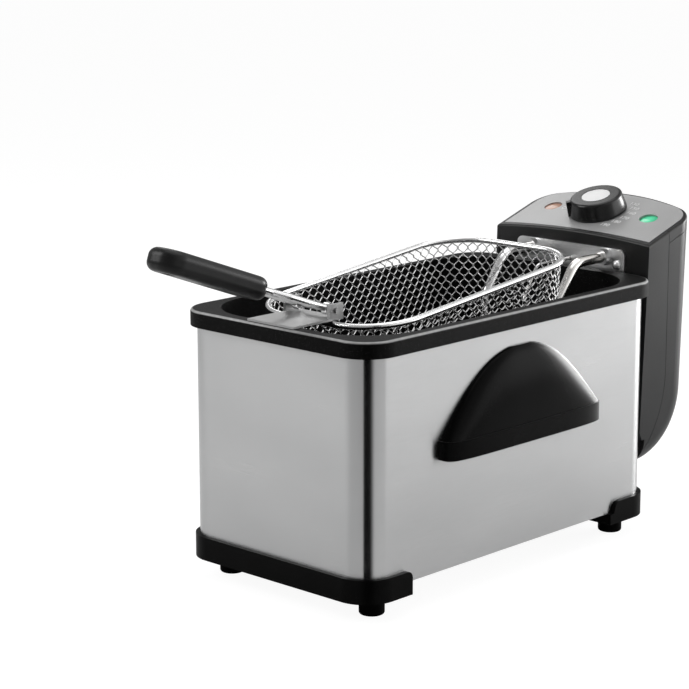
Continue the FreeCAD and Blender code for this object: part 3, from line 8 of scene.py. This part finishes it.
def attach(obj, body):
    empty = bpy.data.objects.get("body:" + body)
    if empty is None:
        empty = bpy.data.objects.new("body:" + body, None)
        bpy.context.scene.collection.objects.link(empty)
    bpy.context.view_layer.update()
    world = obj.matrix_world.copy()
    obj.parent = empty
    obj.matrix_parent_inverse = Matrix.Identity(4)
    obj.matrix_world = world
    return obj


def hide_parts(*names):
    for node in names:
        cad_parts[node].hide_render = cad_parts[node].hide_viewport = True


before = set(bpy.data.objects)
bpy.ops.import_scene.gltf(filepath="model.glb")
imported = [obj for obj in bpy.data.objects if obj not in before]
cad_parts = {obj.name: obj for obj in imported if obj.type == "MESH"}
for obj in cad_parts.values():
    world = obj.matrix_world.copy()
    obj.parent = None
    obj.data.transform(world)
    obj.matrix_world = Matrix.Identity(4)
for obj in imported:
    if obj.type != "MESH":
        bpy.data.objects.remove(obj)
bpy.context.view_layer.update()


# Outer housing: a tube of stainless sheet with four rounded corners, brushed level all round with a
# fine belt.  The base bands, the cup handles and the guide rails are fixed through it from inside.
class Shade:
    """One value in a finish: operators add Math nodes, and node() adds a node of any other kind."""

    def __init__(self, tree, socket=None):
        self.tree = tree
        self.socket = socket

    def node(self, kind, settings, sockets, output=0):
        """Adds a node: its settings first, then the numbers or links of its sockets."""
        made = self.tree.nodes.new(kind)
        for name, value in settings.items():
            setattr(made, name, value)
        for name, value in sockets.items():
            if isinstance(value, Shade):
                self.tree.links.new(value.socket, made.inputs[name])
            else:
                made.inputs[name].default_value = value
        return Shade(self.tree, made.outputs[output] if len(made.outputs) else None)

    def math(self, operation, *terms):
        return self.node("ShaderNodeMath", {"operation": operation}, dict(enumerate(terms)))

    def __add__(self, other):
        return self.math("ADD", self, other)

    def __radd__(self, other):
        return self.math("ADD", other, self)

    def __sub__(self, other):
        return self.math("SUBTRACT", self, other)

    def __rsub__(self, other):
        return self.math("SUBTRACT", other, self)

    def __mul__(self, other):
        return self.math("MULTIPLY", self, other)

    def __rmul__(self, other):
        return self.math("MULTIPLY", other, self)

    def rise(self, low, high):
        """A smooth step from 0 at low to 1 at high."""
        return self.node("ShaderNodeMapRange", {"interpolation_type": "SMOOTHSTEP"},
                         {"Value": self, "From Min": low, "From Max": high})

    def blend(self, first, second):
        """A colour between two, by this value."""
        return self.node("ShaderNodeMix", {"data_type": "RGBA"}, {0: self, 6: first, 7: second}, 2)

    def along(self, axis):
        """One coordinate of a place."""
        return self.node("ShaderNodeSeparateXYZ", {}, {0: self}, axis)

    def noise(self, scale, stretch=(1, 1, 1), detail=2.0):
        """Smooth noise around one half, its grain drawn out where the stretch is small."""
        drawn = self.node("ShaderNodeMapping", {}, {"Vector": self, "Scale": stretch})
        return self.node("ShaderNodeTexNoise", {}, {"Vector": drawn, "Scale": scale, "Detail": detail})

    def bump(self, height, depth):
        """A surface normal from a height between 0 and 1 that stands for a depth in metres."""
        return self.node("ShaderNodeBump", {}, {"Height": height, "Distance": depth, "Strength": 1.0})

    def surface(self, sockets):
        """Closes a finish with its surface."""
        skin = self.node("ShaderNodeBsdfPrincipled", {}, sockets)
        self.node("ShaderNodeOutputMaterial", {}, {"Surface": skin})


def new_finish(name):
    """An empty finish and the places on the piece that it reads, in metres."""
    material = bpy.data.materials.new(name)
    material.use_nodes = True
    material.node_tree.nodes.clear()
    return material, Shade(material.node_tree).node("ShaderNodeTexCoord", {}, {}, "Object")


def dress(material, *names):
    """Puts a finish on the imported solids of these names."""
    for name in names:
        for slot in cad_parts[name].material_slots:
            slot.material = material


def tint(grey, warm=0.0):
    """A grey as a colour, a little warmer or cooler."""
    return (grey * (1 + warm), grey, grey * (1 - warm), 1.0)


steel, spot = new_finish("brushed_housing_steel")
lines = spot.noise(1.0, (60, 60, 5200), 4.0)
cloud = spot.noise(9.0, (1, 1, 2.5))
spot.surface({
    "Base Color": (lines * 0.6 + cloud * 0.4).rise(0.25, 0.75).blend(tint(0.53, -0.006),
                                                                     tint(0.60, -0.002)),
    "Metallic": 1.0,
    "Roughness": 0.22 + 0.04 * lines + 0.04 * cloud,
    "Anisotropic": 0.90,
    "Anisotropic Rotation": 0.25,
    "Normal": spot.bump(lines, 0.000003)})
dress(steel, "outer_housing")

# Bottom plate: plain rolled steel sheet, punched with rows of vents that let the heat below the pot out;
# it is screwed up into the base bands.
rolled, spot = new_finish("plain_rolled_sheet")
grain = spot.noise(1.0, (2200, 40, 40), 3.0)
cloud = spot.noise(14.0)
spot.surface({
    "Base Color": (grain * 0.5 + cloud * 0.5).rise(0.3, 0.7).blend(tint(0.42, -0.01), tint(0.52)),
    "Metallic": 1.0,
    "Roughness": 0.34 + 0.16 * cloud,
    "Normal": spot.bump(grain, 0.00001)})
dress(rolled, "bottom_plate")


# Base bands: two U-shaped mouldings in black plastic that hold the lower edge of the steel, with a
# narrow ledge on top and a fine spark-eroded grain from the mould.
def moulded(name, dark, light, rough, grain_depth=0.00004, gloss=0.0, shine=0.25):
    """A moulded plastic: fine even grain, faint clouds of shade and a roughness that follows them."""
    material, spot = new_finish(name)
    grain = spot.noise(1900.0, detail=3.0)
    cloud = spot.noise(26.0, detail=3.0)
    spot.surface({
        "Base Color": (0.35 * grain + 0.65 * cloud).rise(0.3, 0.7).blend(dark, light),
        "Roughness": rough + 0.10 * (cloud - 0.5) + 0.06 * (grain - 0.5),
        "Specular IOR Level": shine,
        "Coat Weight": gloss,
        "Coat Roughness": 0.12,
        "Normal": spot.bump(grain, grain_depth)})
    return material


base_black = moulded("base_black_plastic", tint(0.0016), tint(0.003), 0.36, shine=0.05)
dress(base_black, "front_base", "rear_base")

# Feet: four round pads of black rubber with a matt skin, moulded with a stem that is pressed into the
# base bands.
foot_rubber = moulded("foot_rubber", tint(0.0015), tint(0.003), 0.62, 0.00008, shine=0.03)
dress(foot_rubber, "foot_front_left", "foot_front_right", "foot_rear_left", "foot_rear_right")

# Side handles: cups in black plastic, a flat arch that swells out to a level lip with the fingers' hollow
# under it; they are screwed on from inside the housing.
cup_black, spot = new_finish("cup_handle_black")
grain = spot.noise(1900.0, detail=3.0)
cloud = spot.noise(26.0, detail=3.0)
turned_away = spot.node("ShaderNodeLayerWeight", {}, {"Blend": 0.5}, "Facing").rise(0.36, 0.72)
spot.surface({
    "Base Color": (0.35 * grain + 0.65 * cloud).rise(0.3, 0.7).blend(tint(0.0014), tint(0.0024)),
    "Roughness": 0.26 + 0.10 * (cloud - 0.5),
    "Specular IOR Level": 0.05,
    "Coat Weight": 0.75 * turned_away,
    "Coat Roughness": 0.46,
    "Normal": spot.bump(grain, 0.00001)})
dress(cup_black, "side_handle_left", "side_handle_right")

# Guide rails and interlock peg: black runners on the rear wall into which the head's tongues slide,
# and the pin that closes its switch.
rail_black = moulded("guide_rail_black", tint(0.006), tint(0.009), 0.42)
dress(rail_black, "guide_rail_left", "guide_rail_right", "interlock_peg")


# Oil pot: pressed steel, coated black inside and out; the coating is matt and faintly speckled. A painted
# highlight, pale and partly metallic, runs along the rolled outer edge of the rim.
coat, spot = new_finish("speckled_pot_coating")
fleck = spot.noise(1500.0, detail=1.0).rise(0.66, 0.74)
cloud = spot.noise(18.0, detail=3.0)
dark = cloud.rise(0.3, 0.7).blend(tint(0.002), tint(0.004))
flecked = (fleck * 0.5).blend(dark, tint(0.10))
rim_middle = (0, 0.01247, 0)
rim_core = (0.068, 0.1375, 9)
off_middle = spot.node("ShaderNodeVectorMath", {"operation": "SUBTRACT"}, {0: spot, 1: rim_middle})
unsigned = spot.node("ShaderNodeVectorMath", {"operation": "ABSOLUTE"}, {0: off_middle})
past_core = spot.node("ShaderNodeVectorMath", {"operation": "SUBTRACT"}, {0: unsigned, 1: rim_core})
beyond = spot.node("ShaderNodeVectorMath", {"operation": "MAXIMUM"}, {0: past_core, 1: (0, 0, 0)})
reach = spot.node("ShaderNodeVectorMath", {"operation": "LENGTH"}, {0: beyond}, "Value")
on_top = spot.along(2).rise(0.1938, 0.1950)
# Painted highlight: a narrow band on top of the rim's rolled outer edge, mottled by noise.
edge_highlight_band = reach.rise(0.0222, 0.0236) * (1 - reach.rise(0.0244, 0.0248)) * on_top
painted_edge_highlight = edge_highlight_band * (0.55 + 0.45 * spot.noise(240.0, detail=2.0))
spot.surface({
    # Within the painted edge highlight the colour turns pale grey and partly metallic.
    "Base Color": painted_edge_highlight.blend(flecked, tint(0.55)),
    "Metallic": 0.6 * painted_edge_highlight,
    "Roughness": 0.44 + 0.14 * cloud - 0.05 * fleck,
    "Specular IOR Level": 0.07,
    "Normal": spot.bump(spot.noise(420.0, detail=2.0), 0.00004)})
dress(coat, "oil_pot")

# Control head: a front shell with two side flanges, a rear cover with a swept heel and a top cap, satin
# charcoal mouldings that meet on an arched seam and are screwed together through the front wall.
charcoal = moulded("head_charcoal", tint(0.008, -0.01), tint(0.012, -0.01), 0.34, 0.00003, 0.0, 0.32)
dress(charcoal, "head_front_shell", "head_rear_cover", "head_top_cap")
tongue_black = moulded("tongue_black", tint(0.007), tint(0.010), 0.40)
dress(tongue_black, "head_tongue_left", "head_tongue_right")

# Control panel: a thin crowned faceplate in plastic, let into the cap and sprayed in satin silver grey
# with a fine flake.
panel_grey, spot = new_finish("panel_satin_grey")
flake = spot.noise(2600.0, detail=2.0)
cloud = spot.noise(20.0, detail=2.0)
spot.surface({
    "Base Color": (flake * 0.6 + cloud * 0.4).rise(0.3, 0.7).blend(tint(0.42), tint(0.50)),
    "Metallic": 0.25,
    "Roughness": 0.40 + 0.12 * (flake - 0.5),
    "Normal": spot.bump(flake, 0.00002)})
dress(panel_grey, "control_panel")


# Element plate, cap nuts and ferrules: bright stainless pressings and turned parts that carry the
# heating element on the front of the head.
def bright(name, dark, light, rough, scale, stretch):
    """A bright metal: faint drawn lines change its colour and its roughness."""
    material, spot = new_finish(name)
    lines = spot.noise(scale, stretch, 3.0)
    cloud = spot.noise(60.0, detail=2.0)
    spot.surface({
        "Base Color": (lines * 0.6 + cloud * 0.4).rise(0.3, 0.7).blend(dark, light),
        "Metallic": 1.0,
        "Roughness": rough + 0.10 * (lines - 0.5) + 0.06 * (cloud - 0.5),
        "Normal": spot.bump(lines, 0.000006)})
    return material


plate_steel = bright("element_plate_steel", tint(0.78), tint(0.88), 0.32, 1.0, (40, 40, 2600))
dress(plate_steel, "element_plate", "plate_nut_left", "plate_nut_right", "ferrule_left", "ferrule_right",
      "head_screw_left", "head_screw_right")

# Heating element: one bent tube of heat-resisting steel with its clip and the thermostat's bulb; a
# faint straw tint from use comes and goes along it.
tube_steel, spot = new_finish("element_tube_steel")
lines = spot.noise(900.0, detail=3.0)
heat = spot.noise(22.0, detail=2.0).rise(0.35, 0.75)
spot.surface({
    "Base Color": (0.5 * heat).blend(tint(0.80), (0.76, 0.71, 0.64, 1.0)),
    "Metallic": 1.0,
    "Roughness": 0.15 + 0.10 * lines,
    "Normal": spot.bump(lines, 0.000006)})
dress(tube_steel, "heating_element", "element_clip", "sensor_bulb")

# Inside the head: thermostat, cut-out, switch and terminal block, moulded in pale heat-proof plastic and
# fixed to the walls of the front shell.
pale_inner = moulded("pale_inner_plastic", (0.42, 0.38, 0.31, 1.0), (0.50, 0.46, 0.38, 1.0), 0.5)
dress(pale_inner, "thermostat_body", "thermal_cutout", "interlock_switch", "terminal_block")

# Inlet socket: a black moulding let into the rear cover, with two plated brass pins that the mains lead
# is pushed on to.
inlet_black = moulded("inlet_black_plastic", tint(0.005), tint(0.008), 0.40)
dress(inlet_black, "inlet_socket")
pin_brass = bright("plated_pin_brass", (0.52, 0.42, 0.22, 1.0), (0.66, 0.55, 0.32, 1.0), 0.24, 800.0,
                   (1, 1, 1))
dress(pin_brass, "inlet_pin_left", "inlet_pin_right")


# Lamp lenses: clear domed mouldings, green for ready and amber for power, with a ribbed back that
# shows through as rings.
def jewel(name, deep, pale, centre):
    """A tinted lens: fine rings about its middle shade the colour, under a clear gloss."""
    material, spot = new_finish(name)
    near = spot.node("ShaderNodeVectorMath", {"operation": "DISTANCE"}, {0: spot, 1: centre}, "Value")
    ripple = near * 5200.0
    rings = 0.5 + 0.5 * ripple.math("SINE", ripple)
    spread = 1 - near.rise(0.001, 0.008)
    spot.surface({
        "Base Color": (0.25 * rings + 0.75 * spread).blend(deep, pale),
        "Emission Color": spread.blend(deep, pale),
        "Emission Strength": 0.22,
        "Roughness": 0.14 + 0.08 * rings,
        "Coat Weight": 0.3,
        "Coat Roughness": 0.04,
        "Transmission Weight": 0.10})
    return material


ready_green = jewel("ready_green_lens", (0.02, 0.48, 0.22, 1.0), (0.10, 0.88, 0.48, 1.0),
                    (0.0468, 0.21875, 0.23106))
dress(ready_green, "ready_lens")
power_amber = jewel("power_amber_lens", (0.34, 0.16, 0.10, 1.0), (0.52, 0.32, 0.23, 1.0),
                    (-0.0468, 0.21875, 0.23106))
dress(power_amber, "power_lens")

# Temperature knob: a turned-looking black moulding with a short skirt, a rounded top edge and a raised
# pointer rib; a satin silver disc is pressed into its top and a steel shaft into its back.
knob_black = moulded("knob_black_plastic", tint(0.003), tint(0.005), 0.24, 0.00001, 0.0, 0.4)
dress(knob_black, "temperature_knob")
disc_silver, spot = new_finish("knob_disc_silver")
disc_middle = (0, 0.2128, 0.2443)
ring = spot.node("ShaderNodeVectorMath", {"operation": "DISTANCE"}, {0: spot, 1: disc_middle}, "Value")
turned = spot.noise(1.0, (900, 900, 900), 3.0)
spot.surface({
    "Base Color": (turned * 0.5 + ring * 40).rise(0.2, 0.9).blend(tint(0.98), tint(0.92)),
    "Metallic": 0.1,
    "Roughness": 0.30 + 0.08 * turned})
dress(disc_silver, "knob_cap")
shaft_steel = bright("shaft_steel", tint(0.45), tint(0.55), 0.3, 900.0, (1, 1, 1))
dress(shaft_steel, "thermostat_shaft")


# Dial print: white numbers in degrees at the knob's right and the off mark at its left, in a thick ink that
# lies on the crown of the panel.
PANEL_TILT = math.radians(17.5)
PANEL_CROWN = 0.7768
PANEL_EDGE = (0.18247, 0.2211)
DIAL_RADIUS = 0.0285
DIAL_MIDDLE = 0.0359


def panel_points(across, upward, lift):
    """Points on the crowned panel: the slope's plane, less half the square of x over the crown's radius."""
    off = lift - across ** 2 / (2 * PANEL_CROWN)
    return np.stack([across, PANEL_EDGE[0] + upward * math.cos(PANEL_TILT) - off * math.sin(PANEL_TILT),
                     PANEL_EDGE[1] + upward * math.sin(PANEL_TILT) + off * math.cos(PANEL_TILT)], axis=-1)


print_white, spot = new_finish("dial_print_white")
wear = spot.noise(700.0, detail=3.0)
spot.surface({
    "Base Color": wear.rise(0.3, 0.6).blend(tint(0.82), tint(0.94)),
    "Roughness": 0.42 + 0.12 * wear})
dial = []
for degrees, turn in ((190, -44.0), (180, -25.5), (170, -9.0), (160, 9.0), (150, 26.0), (130, 43.0)):
    turn = math.radians(turn)
    dial.append((str(degrees), DIAL_RADIUS * math.cos(turn), DIAL_MIDDLE + DIAL_RADIUS * math.sin(turn)))
dial.append(("OFF", -0.0310, 0.0352))
for words, across, upward in dial:
    letters = bpy.data.curves.new(f"dial_{words}", "FONT")
    letters.body = words
    letters.size = 0.0058
    letters.align_x = "CENTER"
    letters.align_y = "CENTER"
    letters.extrude = 0.00005
    letters.offset = 0.00012
    letters.resolution_u = 3
    holder = bpy.data.objects.new(f"dial_{words}_outline", letters)
    bpy.context.collection.objects.link(holder)
    shape = bpy.data.meshes.new_from_object(holder.evaluated_get(bpy.context.evaluated_depsgraph_get()))
    bpy.data.objects.remove(holder)
    flat = np.empty(len(shape.vertices) * 3)
    shape.vertices.foreach_get("co", flat)
    flat = flat.reshape(-1, 3)
    shape.vertices.foreach_set("co", panel_points(flat[:, 0] + across, flat[:, 1] + upward,
                                                  flat[:, 2] + 0.00006).ravel())
    shape.materials.clear()
    shape.materials.append(print_white)
    numeral = bpy.data.objects.new(f"dial_print_{words}", shape)
    bpy.context.collection.objects.link(numeral)
    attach(numeral, "control_head")

# Reset button: a small red plunger, moulded in glossy plastic, that slides in the rear cover on a spring
# and closes the thermal cut-out again.
button_red = moulded("reset_button_red", (0.30, 0.02, 0.016, 1.0), (0.42, 0.035, 0.028, 1.0), 0.3, 0.00001,
                     0.2)
dress(button_red, "reset_button")

# Basket frame: stout plated wire bent and welded into a rim and a foot ring, and the swinging wires of
# the handle.
wire_chrome = bright("plated_basket_wire", tint(0.80), tint(0.90), 0.24, 700.0, (1, 1, 1))
dress(wire_chrome, "basket_rim", "basket_foot_ring", "handle_frame")

# Handle bracket and pin: a folded strip of plain steel that hooks over the front of the pot's rim, welded
# to the basket, with a headed pin through its ears.
strip_steel = bright("bracket_strip_steel", tint(0.36), tint(0.44), 0.40, 1.0, (1400, 60, 60))
dress(strip_steel, "handle_bracket", "handle_pivot")

# Basket net: thin plated wires bent to and fro and twisted together where they meet, so that they
# leave six-sided gaps; they hang from the rim down to the foot ring and close the floor.
BASKET_HALF = (0.0646, 0.1120)
BASKET_CORNER = 0.0397
BASKET_DEPTH = 0.0900
BASKET_LEAN = math.tan(math.radians(8.0))
BASKET_HANG = Matrix.Translation((0, 0.00294, 0.20575)) @ Matrix.Rotation(math.radians(6.28), 4, "X")
NET_WIRE = 0.00046
NET_CELL = (0.0082, 0.0092)


def zigzag(steps):
    """A wave of flats and slopes, four points to a bend: held out, crossing, held in, crossing."""
    return np.tile([1.0, 1.0, -1.0, -1.0], steps // 4 + 1)[:steps]


def bend_levels(length, cell):
    """Depths of the bends: each cell has a flat of a quarter and a slope of a quarter, twice."""
    bends = 4 * int(round(length / cell))
    return np.linspace(0.0, length, bends)


def wire_tubes(paths, across, radius):
    """Square-section tubes: at each path point four corners, along two directions across the wire."""
    ahead = np.gradient(paths, axis=1)
    ahead /= np.linalg.norm(ahead, axis=2, keepdims=True)
    side = np.cross(ahead, across)
    side /= np.linalg.norm(side, axis=2, keepdims=True)
    up = np.cross(side, ahead)
    ring = np.stack([side, up, -side, -up], axis=2) * radius
    points = paths[:, :, None, :] + ring
    wires, steps = paths.shape[:2]
    index = np.arange(wires * steps * 4).reshape(wires, steps, 4)
    here, ahead_row = index[:, :-1], index[:, 1:]
    faces = np.stack([here, np.roll(here, -1, 2), np.roll(ahead_row, -1, 2), ahead_row], axis=-1)
    ends = np.concatenate([index[:, 0, ::-1], index[:, -1, :]])
    return points.reshape(-1, 3), np.concatenate([faces.reshape(-1, 4), ends])


def wall_points(run, depth):
    """Points on the leaning wall: run is the share of the way round the rim, depth is below it."""
    straight = 2 * (np.array(BASKET_HALF) - BASKET_CORNER)
    arc = BASKET_CORNER * math.pi / 2
    legs = np.array([straight[1], arc, straight[0], arc] * 2)
    marks = np.concatenate([[0], np.cumsum(legs)])
    way = (run % 1.0) * marks[-1]
    leg = np.clip(np.searchsorted(marks, way, side="right") - 1, 0, 7)
    share = (way - marks[leg]) / legs[leg]
    core = np.array([[1, -1], [1, 1], [1, 1], [-1, 1], [-1, 1], [-1, -1], [-1, -1], [1, -1]]) * (
        np.array(BASKET_HALF) - BASKET_CORNER)
    after = np.roll(core, -1, axis=0)
    turned = leg % 2 == 1
    walked = core[leg] + (after[leg] - core[leg]) * share[..., None]
    centre = np.where(turned[..., None], core[leg], walked)
    angle = (leg // 2) * math.pi / 2 + np.where(turned, share, 0.0) * math.pi / 2
    outward = np.stack([np.cos(angle), np.sin(angle)], axis=-1)
    plan = centre + outward * (BASKET_CORNER - 0.0006 - depth * BASKET_LEAN)[..., None]
    level = outward[..., :1] * 0
    return np.concatenate([plan, -depth[..., None]], axis=-1), np.concatenate([outward, level], axis=-1)


def drawn(name, points, faces, material):
    """One finished piece from its points and faces, with its finish."""
    mesh = bpy.data.meshes.new(name)
    mesh.from_pydata(np.asarray(points).reshape(-1, 3).tolist(), [], np.asarray(faces).tolist())
    mesh.materials.append(material)
    piece = bpy.data.objects.new(name, mesh)
    bpy.context.collection.objects.link(piece)
    return piece


round_rim = 4 * (sum(BASKET_HALF) - 2 * BASKET_CORNER) + 2 * math.pi * BASKET_CORNER
wire_count = 2 * int(round(round_rim / NET_CELL[0]))
depths = bend_levels(BASKET_DEPTH, NET_CELL[1])
swing = zigzag(len(depths)) * (0.25 * NET_CELL[0] - NET_WIRE) / round_rim
rows = np.arange(wire_count)
sign = np.where(rows % 2 == 0, 1.0, -1.0)
runs = rows[:, None] / wire_count + sign[:, None] * swing[None, :]
wall, outward = wall_points(runs, np.broadcast_to(depths, runs.shape))
wall_net, wall_faces = wire_tubes(wall, outward, NET_WIRE)

floor_half = np.array(BASKET_HALF) - BASKET_DEPTH * BASKET_LEAN
floor_corner = BASKET_CORNER - BASKET_DEPTH * BASKET_LEAN
floor_count = 2 * int(round(2 * floor_half[0] / NET_CELL[0]))
lanes = (np.arange(floor_count) + 0.5) / floor_count * 2 - 1
lane_x = lanes * floor_half[0]
over = np.clip(np.abs(lane_x) - (floor_half[0] - floor_corner), 0, None)
reach = floor_half[1] - floor_corner + np.sqrt(np.clip(floor_corner ** 2 - over ** 2, 0, None))
bends = bend_levels(2 * floor_half[1], NET_CELL[1])
share = np.linspace(-1, 1, len(bends))
floor_sign = np.where(np.arange(floor_count) % 2 == 0, 1.0, -1.0)
floor_x = lane_x[:, None] + floor_sign[:, None] * zigzag(len(bends)) * (0.25 * NET_CELL[0] - NET_WIRE)
floor_y = np.clip(share[None, :] * floor_half[1], -reach[:, None], reach[:, None])
floor_y = floor_y + share[None, :] * 0.00001
floor = np.stack([floor_x, floor_y, np.full_like(floor_x, -BASKET_DEPTH - 0.0006)], axis=-1)
floor_net, floor_faces = wire_tubes(floor, np.broadcast_to([0.0, 0.0, 1.0], floor.shape), NET_WIRE)

net_chrome = bright("plated_net_wire", tint(0.84), tint(0.94), 0.24, 900.0, (1, 1, 1))
hang = np.array(BASKET_HANG)
for name, points, faces, nodes in (
        ("basket_wall_net", wall_net, wall_faces, ("basket_side_net", "basket_end_net", "basket_corner_net")),
        ("basket_floor_wires", floor_net, floor_faces, ("basket_floor_net",))):
    placed = points @ hang[:3, :3].T + hang[:3, 3]
    net = drawn(name, placed, faces, net_chrome)
    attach(net, "basket")
    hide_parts(*nodes)

# Basket handle: a grip in black heat-proof plastic, moulded round the ends of the bent wires that swing on
# the bracket's pin.
grip_black = moulded("handle_grip_black", tint(0.005), tint(0.008), 0.34, 0.00003)
dress(grip_black, "handle_grip")

# Studio floor: a wide pale ground that shows nearly white to the camera and keeps the shadow of the
# object.
floor_material, spot = new_finish("studio_floor")
lit = spot.node("ShaderNodeBsdfDiffuse", {}, {"Color": tint(0.86)})
white = spot.node("ShaderNodeEmission", {}, {"Color": tint(1.0), "Strength": 1.24})
ray = spot.node("ShaderNodeLightPath", {}, {}, "Is Camera Ray")
ground = spot.node("ShaderNodeMixShader", {}, {0: 0.75 * ray, 1: lit, 2: white})
spot.node("ShaderNodeOutputMaterial", {}, {"Surface": ground})


def grid_tiles(rows, columns):
    """Four-sided faces between the neighbours of a grid of points."""
    index = np.arange(rows * columns).reshape(rows, columns)
    return np.stack([index[:-1, :-1], index[1:, :-1], index[1:, 1:], index[:-1, 1:]], axis=-1).reshape(-1, 4)


ground_x, ground_y = np.meshgrid(np.linspace(-9.0, 9.0, 9), np.linspace(-9.0, 9.0, 9), indexing="ij")
ground_points = np.stack([ground_x, ground_y, 0 * ground_x - 0.0002], axis=-1)
drawn("studio_floor", ground_points, grid_tiles(9, 9), floor_material)


# Studio lamps: soft boxes above, at the left and in front, and at the right a lamp and a panel that light
# the long side.
def softbox(name, spot_at, aim, size, power):
    """A square soft lamp at one point, turned towards another."""
    lamp = bpy.data.lights.new(name, "AREA")
    lamp.shape = "RECTANGLE"
    lamp.size, lamp.size_y = size
    lamp.energy = power
    holder = bpy.data.objects.new(name, lamp)
    bpy.context.collection.objects.link(holder)
    toward = np.array(aim) - np.array(spot_at)
    holder.location = spot_at
    holder.rotation_euler = (math.atan2(math.hypot(toward[0], toward[1]), -toward[2]), 0,
                             math.atan2(toward[1], toward[0]) - math.pi / 2)
    return holder


softbox("overhead_softbox", (0.00, 0.20, 1.60), (0.0, 0.05, 0.1), (1.4, 1.4), 8.6)
softbox("left_softbox", (-0.95, 0.72, 1.05), (0.0, 0.15, 0.2), (0.6, 0.6), 2.1)
softbox("front_softbox", (-0.95, -1.05, 0.95), (-0.4, -0.45, 0.0), (0.8, 0.8), 9.5)
softbox("rear_spot", (0.36, 1.25, 0.30), (0.09, 0.05, 0.15), (0.34, 0.46), 8.0)
softbox("side_panel", (0.85, 0.85, 0.34), (0.05, 0.05, 0.15), (1.0, 0.45), 2.0)

# Black flag: a narrow strip of dark cloth that hangs close before the near corner of the housing; only
# mirrors see it.  It draws the dark line down the steel corner that faces the camera.
flag_black, spot = new_finish("studio_flag_black")
weave = spot.noise(900.0, detail=2.0)
near_corner = np.array([0.068, -0.125])
ahead = np.array([math.cos(math.radians(-42.0)), math.sin(math.radians(-42.0))])
aside = np.array([-ahead[1], ahead[0]])
sideways = spot.node("ShaderNodeVectorMath", {"operation": "DOT_PRODUCT"},
                     {0: spot, 1: (aside[0], aside[1], 0)}, "Value") - float(near_corner @ aside)
frayed = sideways.rise(0.0050, 0.0180)
spot.surface({
    "Base Color": weave.rise(0.3, 0.7).blend(tint(0.003), tint(0.006)),
    "Roughness": 0.9,
    "Specular IOR Level": 0.0,
    "Alpha": 1 - frayed})
across, climb = np.meshgrid(np.linspace(-0.0092, 0.0185, 5), np.linspace(0.0002, 0.26, 5), indexing="ij")
stand_off = 0.0422 + 0.0002 * np.cos(climb * 90.0)
plan = near_corner + stand_off[..., None] * ahead + across[..., None] * aside
flag_points = np.concatenate([plan, climb[..., None]], axis=-1)
studio_flag = drawn("studio_flag", flag_points, grid_tiles(5, 5), flag_black)
for sight in ("visible_camera", "visible_diffuse", "visible_shadow", "visible_transmission"):
    setattr(studio_flag, sight, False)

# Studio surroundings: white behind the object, dim for plain light, and brighter to mirrors at the right,
# where the open side of the studio is.
world = bpy.data.worlds.new("studio_world")
world.use_nodes = True
world.node_tree.nodes.clear()
sky = Shade(world.node_tree)
path = world.node_tree.nodes.new("ShaderNodeLightPath")
seen = Shade(world.node_tree, path.outputs["Is Camera Ray"])
mirrored = Shade(world.node_tree, path.outputs["Is Glossy Ray"])
through = Shade(world.node_tree, path.outputs["Is Transmission Ray"])
way = sky.node("ShaderNodeTexCoord", {}, {}, "Generated")
rightward = sky.node("ShaderNodeVectorMath", {"operation": "DOT_PRODUCT"}, {0: way, 1: (0.8, 0.6, 0.0)},
                     "Value")
open_side = mirrored * (0.13 + 0.75 * rightward.rise(0.1, 0.9))
strength = 0.22 + open_side + 0.78 * seen.math("MAXIMUM", seen, through)
glow = sky.node("ShaderNodeBackground", {}, {"Color": tint(1.0), "Strength": strength})
sky.node("ShaderNodeOutputWorld", {}, {"Surface": glow})
bpy.context.scene.world = world
bpy.context.scene.view_settings.view_transform = "Standard"

# Camera: a long lens at the height of someone who stands in front of the worktop and looks a little down
# at the near corner.
view = bpy.data.cameras.new("photo_camera")
view.sensor_width = 36.0
view.lens = 119.79
view.clip_start = 0.05
view.clip_end = 20.0
camera = bpy.data.objects.new("photo_camera", view)
bpy.context.collection.objects.link(camera)
swing_round, tip_down, roll = math.radians(43.477), math.radians(12.316), math.radians(-0.067)
camera.matrix_world = (Matrix.Translation((1.0836, -1.21693, 0.5146)) @ Matrix.Rotation(swing_round, 4, "Z")
                       @ Matrix.Rotation(math.pi / 2 - tip_down, 4, "X") @ Matrix.Rotation(roll, 4, "Z"))
bpy.context.scene.camera = camera
